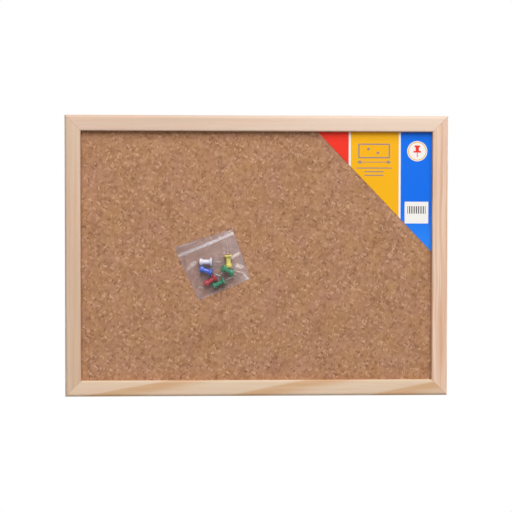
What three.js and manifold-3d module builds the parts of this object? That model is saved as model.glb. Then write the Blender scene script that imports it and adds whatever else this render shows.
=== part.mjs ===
// Framed cork pin board with a corner label and a grip-seal sachet of push pins.
//
// Millimetres, +Z up. The board hangs on a wall behind it: the wall is the plane y = 0, the cork
// faces -Y, and the origin is the middle of the top rail's back face.
import * as THREE from "three";
import { mergeVertices } from "three/addons/utils/BufferGeometryUtils.js";
import Module from "manifold-3d";

const wasm = await Module();
wasm.setup();

// Driving dimensions of the frame.
const BOARD_WIDTH = 400;
const BOARD_HEIGHT = 293;
const RAIL_WIDTH = 16.5;
const FRONT_LIP = 6; // wood in front of the cork
const BACK_LIP = 3.6; // wood behind the panel
const GROOVE_DEPTH = 6;
const OUTER_ROUND = 3.4;
const INNER_ROUND = 1.4;
const BACK_EASE = 0.8;
const MITRE_GAP = 0.06; // from each rail's end to the mitre plane

// Driving dimensions of the laminated panel.
const CORK_THICKNESS = 1.8;
const CORE_THICKNESS = 4.5;
const HARDBOARD_THICKNESS = 2;
const GLUE_LINE = 0.1;
const PANEL_CLEARANCE = 0.3; // from the panel's faces to the groove's
const PANEL_EDGE_GAP = 0.7; // from the panel's edge to the groove's bottom

// Driving dimensions of the V-nails that hold the mitres.
const V_NAILS_PER_CORNER = 2;
const V_NAIL_LEG = 3.2;
const V_NAIL_HALF_ANGLE = THREE.MathUtils.degToRad(50);
const V_NAIL_THICKNESS = 0.6;
const V_NAIL_LENGTH = 9;
const V_NAIL_SINK = 0.3; // how far it is driven below the back face
const V_NAIL_CLEARANCE = 0.3;

// Driving dimensions of the two D-ring hangers.
const HANGER_SPACING = 200;
const HANGER_DROP = 34; // from the top rail's inner edge to the ring's pivot
const RING_WIRE = 1.6;
const RING_BAR = 16; // outside length of the straight bar, along the wire's centre
const RING_DROP = 21; // from the bar to the far end, along the wire's centre
const RING_CORNER = 2.2;
const STRAP_WIDTH = 9;
const STRAP_METAL = 0.6;
const STRAP_TAIL = 11.5; // from the pivot to the strap's free end
const STRAP_CLEARANCE = 0.25; // around the ring's bar
const STRAP_SEAT_GAP = 0.1; // from the strap to the hardboard
const RIVET_SHANK = 3;
const RIVET_HEAD = 6.2;
const RIVET_HEAD_HEIGHT = 0.8;
const RIVET_CLINCH = 4.6;
const RIVET_CLINCH_HEIGHT = 0.7;
const RIVET_CLEARANCE = 0.25;

// Driving dimensions of the corner label.
const LABEL_ACROSS = 119.5;
const LABEL_DOWN = 124.6;
const LABEL_THICKNESS = 0.35;
const LABEL_EDGE_GAP = 0.5; // from the label to the rails
const LABEL_SEAT_GAP = 0.1;

// Driving dimensions of a push pin.
const HEAD_LENGTH = 12.8;
const FLANGE_DIAMETER = 8.8; // on the needle's side
const FLANGE_HEIGHT = 1.6;
const WAIST_DIAMETER = 5;
const KNOB_DIAMETER = 7.2; // where the thumb presses
const KNOB_HEIGHT = 3;
const HEAD_EASE = 0.5;
const NEEDLE_DIAMETER = 1.1;
const NEEDLE_LENGTH = 10.5; // outside the head
const NEEDLE_POINT = 2.2;
const NEEDLE_ROOT = 5; // inside the head
const NEEDLE_CLEARANCE = 0.2;

// Driving dimensions of the grip-seal sachet.
const SACHET_WIDTH = 63; // at the zip
const SACHET_FOOT = 58.5; // width at the bottom edge, where the heap draws the film in
const SACHET_HEIGHT = 58.5; // to the middle of the open edge
const SACHET_ACROSS = -45.3; // centre, from the board's centre
const SACHET_UP = -8.2;
const SACHET_TURN = THREE.MathUtils.degToRad(22.5);
const HEADER_HEIGHT = 7.5; // from the zip to the open edge, in the middle
const HEADER_SLANT = 6; // how much the open edge falls from left to right
const FILM_THICKNESS = 0.3;
const FILM_GAP = 0.3;
const SEAM_WIDTH = 2.2;
const FILM_FALL = 9; // how far the film takes to come down beside a pin
const LIP_RISE = 2.4; // how far the front lip stands off at the open edge
const ZIP_GAP = 0.1;
const ZIP_BASE = 0.5;
const ZIP_WALL = 0.6;
const ZIP_MOUTH = 1.5;
const ZIP_DEPTH = 1.2;
const ZIP_RIB = 0.8;
const ZIP_END_GAP = 0.4; // from the zip's ends to the sachet's sides
const HEAP_UP = 29; // from the sachet's bottom edge to the heap's middle
const GLUE_DOT_DIAMETER = 14;
const GLUE_DOT_THICKNESS = 0.5;
const GLUE_DOT_GAP = 0.1;

const HOLE_OVERRUN = 1; // how far a hole's cutter stands out of the piece

// Smoothness of the round forms.
const ARC_STEPS = 5;
const LATHE_STEPS = 18;
const NEEDLE_STEPS = 8;
const WIRE_SIDES = 8;
const RING_STEPS = 44;
const FILM_STEP = 2.4;

// Sizes that follow from the ones above.
const PANEL_THICKNESS = CORK_THICKNESS + CORE_THICKNESS + HARDBOARD_THICKNESS + 2 * GLUE_LINE;
const GROOVE_WIDTH = PANEL_THICKNESS + 2 * PANEL_CLEARANCE;
const RAIL_DEPTH = FRONT_LIP + GROOVE_WIDTH + BACK_LIP;
const RAIL_WEB = RAIL_WIDTH - GROOVE_DEPTH;
const PANEL_INSET = RAIL_WEB + PANEL_EDGE_GAP;
const PANEL_WIDTH = BOARD_WIDTH - 2 * PANEL_INSET;
const PANEL_HEIGHT = BOARD_HEIGHT - 2 * PANEL_INSET;
const OPENING_HALF_WIDTH = BOARD_WIDTH / 2 - RAIL_WIDTH;
const OPENING_HALF_HEIGHT = BOARD_HEIGHT / 2 - RAIL_WIDTH;
const HARDBOARD_BACK = -(BACK_LIP + PANEL_CLEARANCE); // y of the panel's back face
const CORE_BACK = HARDBOARD_BACK - HARDBOARD_THICKNESS - GLUE_LINE;
const CORK_BACK = CORE_BACK - CORE_THICKNESS - GLUE_LINE;
const CORK_FACE = CORK_BACK - CORK_THICKNESS; // y of the pinning face

// Finishes.
const finish = (color, roughness, metalness = 0, more = {}) =>
  new THREE.MeshStandardMaterial({ color, roughness, metalness, ...more });
const PINE = finish(0xdcc0a4, 0.6);
const CORK = finish(0xb08565, 0.9);
const SOFTBOARD = finish(0xa38a68, 0.95);
const HARDBOARD = finish(0x7a5638, 0.7);
const STEEL = finish(0xb9bcc0, 0.35, 1);
const ZINC = finish(0xc4c7c9, 0.4, 1);
const CARD = finish(0xf4b51c, 0.4);
const FILM = finish(0xe6eaee, 0.2, 0, { transparent: true, opacity: 0.3 });
const GLUE = finish(0xe9e2cf, 0.5, 0, { transparent: true, opacity: 0.7 });
const PIN_COLOURS = {
  white: 0xf2f3f8,
  blue: 0x2f58c4,
  red: 0xc62f3c,
  green_low: 0x12854f,
  yellow: 0xe2d23c,
  green_right: 0x17925a,
};

/** A named mesh, placed in its parent by an optional position. */
function piece(name, geometry, material, x = 0, y = 0, z = 0) {
  const mesh = new THREE.Mesh(geometry, material);
  mesh.name = name;
  mesh.position.set(x, y, z);
  return mesh;
}

/** A group of pieces. */
function group(...children) {
  const made = new THREE.Group();
  made.add(...children);
  return made;
}

/** The solid that a closed geometry bounds. */
function solidOf(geometry) {
  const bare = new THREE.BufferGeometry();
  bare.setAttribute("position", geometry.getAttribute("position").clone());
  if (geometry.index) bare.setIndex(geometry.index.clone());
  const merged = mergeVertices(bare, 1e-4);
  return new wasm.Manifold(
    new wasm.Mesh({
      numProp: 3,
      vertProperties: merged.getAttribute("position").array,
      triVerts: new Uint32Array(merged.index.array),
    }),
  );
}

/** A geometry with the cutters' geometries taken out of it. */
function cut(geometry, cutters) {
  let solid = solidOf(geometry);
  for (const cutter of cutters) solid = solid.subtract(solidOf(cutter));
  const { vertProperties, triVerts } = solid.getMesh();
  const made = new THREE.BufferGeometry();
  made.setAttribute("position", new THREE.BufferAttribute(vertProperties, 3));
  made.setIndex(new THREE.BufferAttribute(triVerts, 1));
  made.computeVertexNormals();
  return made;
}

/** A geometry from a list of points and the quads or triangles that join them. */
function faceted(points, faces) {
  const made = new THREE.BufferGeometry();
  made.setAttribute("position", new THREE.Float32BufferAttribute(points.flat(), 3));
  made.setIndex(faces.flatMap((f) => (f.length === 3 ? f : [f[0], f[1], f[2], f[0], f[2], f[3]])));
  made.computeVertexNormals();
  return made;
}

/** A flat outline in X and Z, pulled from y = from to y = to, with from the larger. */
function slab(shape, from, to) {
  const made = new THREE.ExtrudeGeometry(shape, {
    depth: from - to,
    bevelEnabled: false,
    curveSegments: 4 * ARC_STEPS,
  });
  return made.rotateX(Math.PI / 2).translate(0, from, 0);
}

/** A round hole or disc along Y, from y = from to y = to. */
function drum(diameter, from, to) {
  const made = new THREE.CylinderGeometry(diameter / 2, diameter / 2, from - to, LATHE_STEPS);
  return made.translate(0, (from + to) / 2, 0);
}

// Frame rails.

/** The rail's section: x runs from the outer edge inwards, y from the back to the front. */
function railSection() {
  const grooveTop = BACK_LIP + GROOVE_WIDTH;
  const section = new THREE.Shape();
  section.moveTo(BACK_EASE, 0);
  section.lineTo(RAIL_WIDTH, 0);
  section.lineTo(RAIL_WIDTH, BACK_LIP);
  section.lineTo(RAIL_WEB, BACK_LIP);
  section.lineTo(RAIL_WEB, grooveTop);
  section.lineTo(RAIL_WIDTH, grooveTop);
  section.absarc(RAIL_WIDTH - INNER_ROUND, RAIL_DEPTH - INNER_ROUND, INNER_ROUND, 0, Math.PI / 2);
  section.absarc(OUTER_ROUND, RAIL_DEPTH - OUTER_ROUND, OUTER_ROUND, Math.PI / 2, Math.PI);
  section.absarc(BACK_EASE, BACK_EASE, BACK_EASE, Math.PI, 1.5 * Math.PI);
  return section;
}

/** A mitred rail along X, its outer edge on z = 0, its inner edge up and its back on y = 0. */
function railGeometry(length) {
  const made = new THREE.ExtrudeGeometry(railSection(), {
    depth: 1,
    bevelEnabled: false,
    curveSegments: ARC_STEPS,
  });
  const at = made.getAttribute("position");
  for (let i = 0; i < at.count; i++) {
    const inward = at.getX(i);
    const half = length / 2 - inward - MITRE_GAP;
    at.setXYZ(i, at.getZ(i) > 0.5 ? half : -half, -at.getY(i), inward);
  }
  return made;
}

/** A V-nail, or the slot for one, with its point towards -X and its ends at y = from and y = to. */
function chevron(thickness, from, to) {
  const along = Math.cos(V_NAIL_HALF_ANGLE);
  const across = Math.sin(V_NAIL_HALF_ANGLE);
  const reach = V_NAIL_LEG + (thickness - V_NAIL_THICKNESS) / 2;
  const half = thickness / 2;
  const outline = [
    [-half / across, 0],
    [reach * along - half * across, -reach * across - half * along],
    [reach * along + half * across, -reach * across + half * along],
    [half / across, 0],
    [reach * along + half * across, reach * across - half * along],
    [reach * along - half * across, reach * across + half * along],
  ];
  return slab(new THREE.Shape(outline.map(([x, z]) => new THREE.Vector2(x, z))), from, to);
}

/** Where the V-nails of one bottom corner sit, in the bottom rail's frame; side is -1 or 1. */
function cornerPlaces(side) {
  return Array.from({ length: V_NAILS_PER_CORNER }, (_, i) => {
    const inward = (RAIL_WEB * (i + 1)) / (V_NAILS_PER_CORNER + 1);
    return {
      x: side * (BOARD_WIDTH / 2 - inward),
      z: inward,
      turn: side < 0 ? -Math.PI / 4 : Math.PI + Math.PI / 4,
    };
  });
}

/** The slots that the V-nails of both ends leave in a rail of the given length. */
function railSlots(length) {
  const shift = (length - BOARD_WIDTH) / 2;
  return [-1, 1].flatMap((side) =>
    cornerPlaces(side).map(({ x, z, turn }) =>
      chevron(
        V_NAIL_THICKNESS + 2 * V_NAIL_CLEARANCE,
        V_NAIL_CLEARANCE,
        -(V_NAIL_SINK + V_NAIL_LENGTH + V_NAIL_CLEARANCE),
      )
        .rotateY(turn)
        .translate(x + side * shift, 0, z),
    ),
  );
}

/** One of the four rails, turned about Y from the bottom rail's place. */
function rail(name, length, turn, x, z) {
  const mesh = piece(name, cut(railGeometry(length), railSlots(length)), PINE, x, 0, z);
  mesh.rotation.y = turn;
  return mesh;
}

const frame = group(
  rail("rail_bottom", BOARD_WIDTH, 0, 0, -BOARD_HEIGHT / 2),
  rail("rail_top", BOARD_WIDTH, Math.PI, 0, BOARD_HEIGHT / 2),
  rail("rail_left", BOARD_HEIGHT, Math.PI / 2, -BOARD_WIDTH / 2, 0),
  rail("rail_right", BOARD_HEIGHT, -Math.PI / 2, BOARD_WIDTH / 2, 0),
);

/** The V-nails of one corner, driven from the back; across and up are -1 or 1. */
function cornerNails(corner, across, up) {
  return cornerPlaces(across).map(({ x, z, turn }, i) => {
    const nail = piece(
      `v_nail_${corner}_${i + 1}`,
      chevron(V_NAIL_THICKNESS, -V_NAIL_SINK, -V_NAIL_SINK - V_NAIL_LENGTH),
      STEEL,
      x,
      0,
      up * (BOARD_HEIGHT / 2 - z),
    );
    nail.rotation.y = up < 0 ? turn : -turn;
    return nail;
  });
}

const nails = group(
  ...cornerNails("bottom_left", -1, -1),
  ...cornerNails("bottom_right", 1, -1),
  ...cornerNails("top_left", -1, 1),
  ...cornerNails("top_right", 1, 1),
);

// Laminated panel: cork in front, softboard in the middle, hardboard behind.

const PIVOT_Z = OPENING_HALF_HEIGHT - HANGER_DROP;
const RIVET_Z = PIVOT_Z - STRAP_TAIL / 2 - RING_WIRE;

/** The two hangers' places along X. */
const hangerPlaces = { left: -HANGER_SPACING / 2, right: HANGER_SPACING / 2 };

/** A sheet of the panel's size whose back face is at y = back. */
function sheet(thickness, back) {
  const made = new THREE.BoxGeometry(PANEL_WIDTH, thickness, PANEL_HEIGHT);
  return made.translate(0, back - thickness / 2, 0);
}

/** One round hole for each hanger's rivet. */
function rivetHoles(diameter, from, to) {
  return Object.values(hangerPlaces).map((x) => drum(diameter, from, to).translate(x, 0, RIVET_Z));
}

const hardboardHoles = rivetHoles(
  RIVET_SHANK + 2 * RIVET_CLEARANCE,
  HARDBOARD_BACK + HOLE_OVERRUN,
  HARDBOARD_BACK - HARDBOARD_THICKNESS - HOLE_OVERRUN,
);
const corePockets = rivetHoles(
  RIVET_CLINCH + 2 * RIVET_CLEARANCE,
  CORE_BACK + HOLE_OVERRUN,
  CORE_BACK - RIVET_CLINCH_HEIGHT - RIVET_CLEARANCE,
);
const panel = group(
  piece("cork_sheet", sheet(CORK_THICKNESS, CORK_BACK), CORK),
  piece("softboard_core", cut(sheet(CORE_THICKNESS, CORE_BACK), corePockets), SOFTBOARD),
  piece("hardboard_back", cut(sheet(HARDBOARD_THICKNESS, HARDBOARD_BACK), hardboardHoles), HARDBOARD),
);

// D-ring hangers, riveted to the hardboard within the depth of the back lip.

const STRAP_EYE = RING_WIRE / 2 + STRAP_CLEARANCE;
const STRAP_EYE_OUTER = STRAP_EYE + STRAP_METAL;
const STRAP_FOOT = HARDBOARD_BACK + STRAP_SEAT_GAP; // y of the strap's face on the hardboard
const STRAP_TOP = STRAP_FOOT + 2 * STRAP_METAL; // the tail is the strip folded double
const PIVOT_Y = STRAP_FOOT + STRAP_EYE_OUTER;

/** The folded strap: an eye round the ring's bar and a double tail with a rivet hole. */
function strapGeometry() {
  const meet = Math.asin((STRAP_EYE_OUTER - 2 * STRAP_METAL) / STRAP_EYE_OUTER);
  const section = new THREE.Shape();
  section.moveTo(-STRAP_TAIL, 0);
  section.absarc(0, STRAP_EYE_OUTER, STRAP_EYE_OUTER, -Math.PI / 2, Math.PI + meet);
  section.lineTo(-STRAP_TAIL, 2 * STRAP_METAL);
  const eye = new THREE.Path();
  eye.absarc(0, STRAP_EYE_OUTER, STRAP_EYE, 0, 2 * Math.PI, true);
  section.holes.push(eye);
  const made = new THREE.ExtrudeGeometry(section, {
    depth: STRAP_WIDTH,
    bevelEnabled: false,
    curveSegments: 4 * ARC_STEPS,
  });
  const up = new THREE.Vector3(0, 0, 1);
  const out = new THREE.Vector3(0, 1, 0);
  const along = new THREE.Vector3(-1, 0, 0);
  made.applyMatrix4(new THREE.Matrix4().makeBasis(up, out, along));
  made.translate(STRAP_WIDTH / 2, STRAP_FOOT, PIVOT_Z);
  const width = RIVET_SHANK + 2 * RIVET_CLEARANCE;
  const hole = drum(width, STRAP_TOP + HOLE_OVERRUN, STRAP_FOOT - HOLE_OVERRUN);
  return cut(made, [hole.translate(0, 0, RIVET_Z)]);
}

/** The D-shaped wire ring, hanging from its straight bar. */
function ringGeometry() {
  const half = RING_BAR / 2;
  const bow = RING_DROP - half;
  const path = new THREE.Path();
  path.moveTo(-half + RING_CORNER, 0);
  path.absarc(half - RING_CORNER, -RING_CORNER, RING_CORNER, Math.PI / 2, 0, true);
  path.absarc(0, -bow, half, 0, -Math.PI, true);
  path.absarc(-half + RING_CORNER, -RING_CORNER, RING_CORNER, Math.PI, Math.PI / 2, true);
  const line = path.getSpacedPoints(RING_STEPS).slice(0, RING_STEPS);
  const points = [];
  const faces = [];
  line.forEach((here, i) => {
    const before = line[(i + RING_STEPS - 1) % RING_STEPS];
    const after = line[(i + 1) % RING_STEPS];
    const along = after.clone().sub(before).normalize();
    for (let k = 0; k < WIRE_SIDES; k++) {
      const angle = (2 * Math.PI * (k + 0.5)) / WIRE_SIDES;
      const side = (RING_WIRE / 2) * Math.cos(angle);
      points.push([here.x - along.y * side, (RING_WIRE / 2) * Math.sin(angle), here.y + along.x * side]);
      const next = ((i + 1) % RING_STEPS) * WIRE_SIDES;
      const turn = (k + 1) % WIRE_SIDES;
      faces.push([i * WIRE_SIDES + k, next + k, next + turn, i * WIRE_SIDES + turn]);
    }
  });
  return faceted(points, faces).translate(0, PIVOT_Y, PIVOT_Z);
}

/** The rivet: a domed head on the strap, a shank and a clinched end inside the core. */
function rivetGeometry() {
  const seat = STRAP_TOP + STRAP_SEAT_GAP;
  const clinch = CORE_BACK + GLUE_LINE / 2 - RIVET_CLEARANCE / 2;
  const profile = new THREE.Path();
  profile.moveTo(0, clinch - RIVET_CLINCH_HEIGHT);
  profile.lineTo(RIVET_CLINCH / 2, clinch - RIVET_CLINCH_HEIGHT);
  profile.lineTo(RIVET_CLINCH / 2, clinch);
  profile.lineTo(RIVET_SHANK / 2, clinch);
  profile.lineTo(RIVET_SHANK / 2, seat);
  profile.lineTo(RIVET_HEAD / 2, seat);
  profile.quadraticCurveTo(RIVET_HEAD / 2, seat + RIVET_HEAD_HEIGHT, 0, seat + RIVET_HEAD_HEIGHT);
  return new THREE.LatheGeometry(profile.getPoints(ARC_STEPS), LATHE_STEPS).translate(0, 0, RIVET_Z);
}

const hangers = group(
  ...Object.entries(hangerPlaces).flatMap(([side, x]) => [
    piece(`hanger_strap_${side}`, strapGeometry(), ZINC, x),
    piece(`hanger_ring_${side}`, ringGeometry(), ZINC, x),
    piece(`hanger_rivet_${side}`, rivetGeometry(), ZINC, x),
  ]),
);

// Corner label: a card cut off on the slant, tucked into the opening's top right corner.

/** The label's outline, in the plane of the cork. */
function labelGeometry() {
  const right = OPENING_HALF_WIDTH - LABEL_EDGE_GAP;
  const top = OPENING_HALF_HEIGHT - LABEL_EDGE_GAP;
  const outline = new THREE.Shape();
  outline.moveTo(right - LABEL_ACROSS, top);
  outline.lineTo(right, top - LABEL_DOWN);
  outline.lineTo(right, top);
  const back = CORK_FACE - LABEL_SEAT_GAP;
  return slab(outline, back, back - LABEL_THICKNESS);
}

const label = piece("corner_label", labelGeometry(), CARD);

// Push pins. Each pin's own axis is Y, with the knob up and the flange's end on y = 0.

/** The moulded head: flange, waist and knob, with a blind bore for the needle. */
function headGeometry() {
  const bore = NEEDLE_DIAMETER / 2 + NEEDLE_CLEARANCE;
  const flange = FLANGE_DIAMETER / 2;
  const waist = WAIST_DIAMETER / 2;
  const knob = KNOB_DIAMETER / 2;
  const shoulder = HEAD_LENGTH - KNOB_HEIGHT;
  const profile = new THREE.Path();
  profile.moveTo(0, NEEDLE_ROOT + NEEDLE_CLEARANCE);
  profile.lineTo(bore, NEEDLE_ROOT + NEEDLE_CLEARANCE);
  profile.lineTo(bore, 0);
  profile.lineTo(flange - HEAD_EASE, 0);
  profile.quadraticCurveTo(flange, 0, flange, HEAD_EASE);
  profile.lineTo(flange, FLANGE_HEIGHT);
  profile.quadraticCurveTo(waist, FLANGE_HEIGHT, waist, 2 * FLANGE_HEIGHT);
  profile.lineTo(waist, shoulder - KNOB_HEIGHT / 2);
  profile.quadraticCurveTo(waist, shoulder, knob, shoulder);
  profile.lineTo(knob, HEAD_LENGTH - HEAD_EASE);
  profile.quadraticCurveTo(knob, HEAD_LENGTH, knob - HEAD_EASE, HEAD_LENGTH);
  profile.lineTo(0, HEAD_LENGTH);
  return new THREE.LatheGeometry(profile.getPoints(3), LATHE_STEPS);
}

/** The steel needle, rooted in the head and pointed at the far end. */
function needleGeometry() {
  const radius = NEEDLE_DIAMETER / 2;
  const profile = [
    [0, -NEEDLE_LENGTH],
    [radius, -NEEDLE_LENGTH + NEEDLE_POINT],
    [radius, NEEDLE_ROOT],
    [0, NEEDLE_ROOT],
  ];
  return new THREE.LatheGeometry(profile.map((p) => new THREE.Vector2(...p)), NEEDLE_STEPS);
}

// The heap in the sachet. Places are counted in pin sizes, so the heap grows with its pins: x and y
// are the head's middle from the heap's middle, which keeps its place over the sachet's bottom edge,
// and turn is the way the needle points. A pin lies on its flange and its knob, and rise tips it up
// on its knob, or on its flange where it is below zero.
const HEAP_PITCH = (FLANGE_DIAMETER + HEAD_LENGTH) / 2;
const HEAP_Y = HEAP_UP - SACHET_HEIGHT / 2;
const LYING = Math.asin((FLANGE_DIAMETER - KNOB_DIAMETER) / 2 / HEAD_LENGTH);
const heap = [
  { colour: "white", x: -0.66, y: 0.506, turn: -22.5, rise: 0 },
  { colour: "blue", x: -0.944, y: -0.294, turn: -42.5, rise: 9 },
  { colour: "red", x: -0.934, y: -1.342, turn: 11.5, rise: 0 },
  { colour: "green_low", x: -0.279, y: -1.892, turn: 3.5, rise: 0 },
  { colour: "yellow", x: 1.395, y: -0.25, turn: 72, rise: 0 },
  { colour: "green_right", x: 0.946, y: -1.026, turn: -49.5, rise: -24 },
].map((pin) => ({
  ...pin,
  turn: THREE.MathUtils.degToRad(pin.turn),
  rise: LYING + THREE.MathUtils.degToRad(pin.rise),
}));

// Heights above the cork inside the sachet.
const BACK_FILM = GLUE_DOT_THICKNESS + 2 * GLUE_DOT_GAP;
const INSIDE = BACK_FILM + FILM_THICKNESS;
const SEAM = INSIDE + FILM_GAP;
const ZIP_TOP = INSIDE + 2 * ZIP_GAP + 2 * ZIP_BASE + ZIP_DEPTH + FILM_GAP;
const ZIP_LINE = SACHET_HEIGHT / 2 - HEADER_HEIGHT;

/** A pin's axis: a point at a distance from the flange's end, in the sachet's frame. */
function alongPin(pin, distance) {
  const flat = (HEAD_LENGTH / 2 - distance) * Math.cos(pin.rise);
  const onKnob = (KNOB_DIAMETER / 2) * Math.cos(pin.rise);
  const onFlange = (FLANGE_DIAMETER / 2) * Math.cos(pin.rise) - HEAD_LENGTH * Math.sin(pin.rise);
  const end = INSIDE + FILM_GAP + Math.max(onKnob, onFlange);
  return new THREE.Vector3(
    HEAP_PITCH * pin.x + flat * Math.cos(pin.turn),
    HEAP_Y + HEAP_PITCH * pin.y + flat * Math.sin(pin.turn),
    end + (HEAD_LENGTH - distance) * Math.sin(pin.rise),
  );
}

/** A pin's head and needle, laid in the heap. */
function pushPin(pin) {
  const made = group(
    piece(`pin_head_${pin.colour}`, headGeometry(), finish(PIN_COLOURS[pin.colour], 0.3)),
    piece(`pin_needle_${pin.colour}`, needleGeometry(), STEEL),
  );
  const along = alongPin(pin, 1).sub(alongPin(pin, 0));
  made.position.copy(alongPin(pin, 0));
  made.quaternion.setFromUnitVectors(new THREE.Vector3(0, 1, 0), along.normalize());
  return made;
}

// Sachet film. The back film lies flat; the front film comes down over the heap to the seams.

/** 1 up to low, 0 from high on, and smooth between. */
const falling = (low, high, value) => 1 - THREE.MathUtils.smoothstep(value, low, high);

/** How far the film is pushed up by a rod of the given radius between two points. */
function tent(x, y, from, to, radius) {
  const start = new THREE.Vector3(from.x, from.y, 0);
  const end = new THREE.Vector3(to.x, to.y, 0);
  const line = new THREE.Line3(start, end);
  const here = new THREE.Vector3(x, y, 0);
  const share = line.closestPointToPointParameter(here, true);
  const away = line.at(share, new THREE.Vector3()).distanceTo(here);
  const upright = (radius * from.distanceTo(to)) / start.distanceTo(end); // taller on a slanting rod
  const top = THREE.MathUtils.lerp(from.z, to.z, share) + upright + FILM_GAP - SEAM;
  return top * falling(radius + FILM_STEP, radius + FILM_STEP + FILM_FALL, away);
}

/** Half the sachet's width: it narrows from the zip to the foot. */
function halfWidth(y) {
  const share = THREE.MathUtils.inverseLerp(-SACHET_HEIGHT / 2, ZIP_LINE, y);
  return THREE.MathUtils.lerp(SACHET_FOOT, SACHET_WIDTH, Math.min(share, 1)) / 2;
}

/** Where the open edge is: it slants down to the right. */
function openEdge(x) {
  return SACHET_HEIGHT / 2 - (HEADER_SLANT * x) / SACHET_WIDTH;
}

/** Height of the front film's inner face above the cork. */
function filmHeight(x, y) {
  const heads = heap.map((pin) =>
    tent(x, y, alongPin(pin, 0), alongPin(pin, HEAD_LENGTH), FLANGE_DIAMETER / 2),
  );
  const needles = heap.map((pin) =>
    tent(x, y, alongPin(pin, -NEEDLE_LENGTH), alongPin(pin, 0), NEEDLE_DIAMETER),
  );
  const zip = (ZIP_TOP - SEAM) * falling(2 * ZIP_MOUTH, 4 * ZIP_MOUTH, Math.abs(y - ZIP_LINE));
  const lip = LIP_RISE * THREE.MathUtils.smoothstep(y, ZIP_LINE, openEdge(x));
  const sides = halfWidth(y) - Math.abs(x);
  const bottom = y + SACHET_HEIGHT / 2;
  const seam = 1 - falling(0, SEAM_WIDTH, Math.min(sides, bottom));
  return SEAM + Math.max(zip, seam * Math.max(...heads, ...needles)) + seam * lip;
}

/** The back film, flat on the glue dot. */
function backFilmGeometry() {
  const edge = SACHET_WIDTH / 2;
  const outline = new THREE.Shape([
    new THREE.Vector2(-SACHET_FOOT / 2, -SACHET_HEIGHT / 2),
    new THREE.Vector2(SACHET_FOOT / 2, -SACHET_HEIGHT / 2),
    new THREE.Vector2(edge, ZIP_LINE),
    new THREE.Vector2(edge, openEdge(edge)),
    new THREE.Vector2(-edge, openEdge(-edge)),
    new THREE.Vector2(-edge, ZIP_LINE),
  ]);
  const made = new THREE.ExtrudeGeometry(outline, { depth: FILM_THICKNESS, bevelEnabled: false });
  return made.translate(0, 0, BACK_FILM);
}

/** The front film, a closed sheet over the back film's outline. */
function frontFilmGeometry() {
  const columns = Math.ceil(SACHET_WIDTH / FILM_STEP);
  const rows = Math.ceil(SACHET_HEIGHT / FILM_STEP);
  const points = [];
  for (let j = 0; j <= rows; j++)
    for (let i = 0; i <= columns; i++) {
      const across = i / columns - 0.5;
      const y = THREE.MathUtils.lerp(-SACHET_HEIGHT / 2, openEdge(SACHET_WIDTH * across), j / rows);
      const x = 2 * halfWidth(y) * across;
      const inner = filmHeight(x, y);
      points.push([x, y, inner], [x, y, inner + FILM_THICKNESS]);
    }
  const at = (i, j, upper) => 2 * (j * (columns + 1) + i) + upper;
  const faces = [];
  for (let j = 0; j < rows; j++)
    for (let i = 0; i < columns; i++) {
      faces.push([at(i, j, 1), at(i + 1, j, 1), at(i + 1, j + 1, 1), at(i, j + 1, 1)]);
      faces.push([at(i, j, 0), at(i, j + 1, 0), at(i + 1, j + 1, 0), at(i + 1, j, 0)]);
    }
  const wall = (a, b) => faces.push([at(...a, 0), at(...b, 0), at(...b, 1), at(...a, 1)]);
  for (let i = 0; i < columns; i++) {
    wall([i, 0], [i + 1, 0]);
    wall([i + 1, rows], [i, rows]);
  }
  for (let j = 0; j < rows; j++) {
    wall([columns, j], [columns, j + 1]);
    wall([0, j + 1], [0, j]);
  }
  return faceted(points, faces);
}

// The zip's two strips, drawn in section and pulled along the sachet's width.

/** A zip strip from its section: x across the zip, y away from the cork. */
function zipStrip(section) {
  const length = SACHET_WIDTH - 2 * ZIP_END_GAP;
  const outline = new THREE.Shape(section.map(([x, y]) => new THREE.Vector2(x, y)));
  const made = new THREE.ExtrudeGeometry(outline, { depth: length, bevelEnabled: false });
  const across = new THREE.Vector3(0, 1, 0);
  const away = new THREE.Vector3(0, 0, 1);
  const along = new THREE.Vector3(1, 0, 0);
  made.applyMatrix4(new THREE.Matrix4().makeBasis(across, away, along));
  return made.translate(-length / 2, ZIP_LINE, 0);
}

/** The channel strip on the back film. */
function zipChannel() {
  const low = INSIDE + ZIP_GAP;
  const floor = low + ZIP_BASE;
  const top = floor + ZIP_DEPTH - ZIP_GAP;
  const inner = ZIP_MOUTH / 2;
  const outer = inner + ZIP_WALL;
  return zipStrip([
    [-outer, low],
    [outer, low],
    [outer, top],
    [inner, top],
    [inner, floor],
    [-inner, floor],
    [-inner, top],
    [-outer, top],
  ]);
}

/** The rib strip on the front film, pressed into the channel. */
function zipRib() {
  const high = INSIDE + ZIP_GAP + 2 * ZIP_BASE + ZIP_DEPTH;
  const shoulder = high - ZIP_BASE;
  const tip = shoulder - ZIP_DEPTH + 2 * ZIP_GAP;
  const half = ZIP_RIB / 2;
  const outer = ZIP_MOUTH / 2 + ZIP_WALL;
  return zipStrip([
    [-half, tip],
    [half, tip],
    [half, shoulder],
    [outer, shoulder],
    [outer, high],
    [-outer, high],
    [-outer, shoulder],
    [-half, shoulder],
  ]);
}

const glueDot = new THREE.CylinderGeometry(
  GLUE_DOT_DIAMETER / 2,
  GLUE_DOT_DIAMETER / 2,
  GLUE_DOT_THICKNESS,
  LATHE_STEPS,
);
glueDot.rotateX(Math.PI / 2).translate(0, 0, GLUE_DOT_GAP + GLUE_DOT_THICKNESS / 2);

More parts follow.
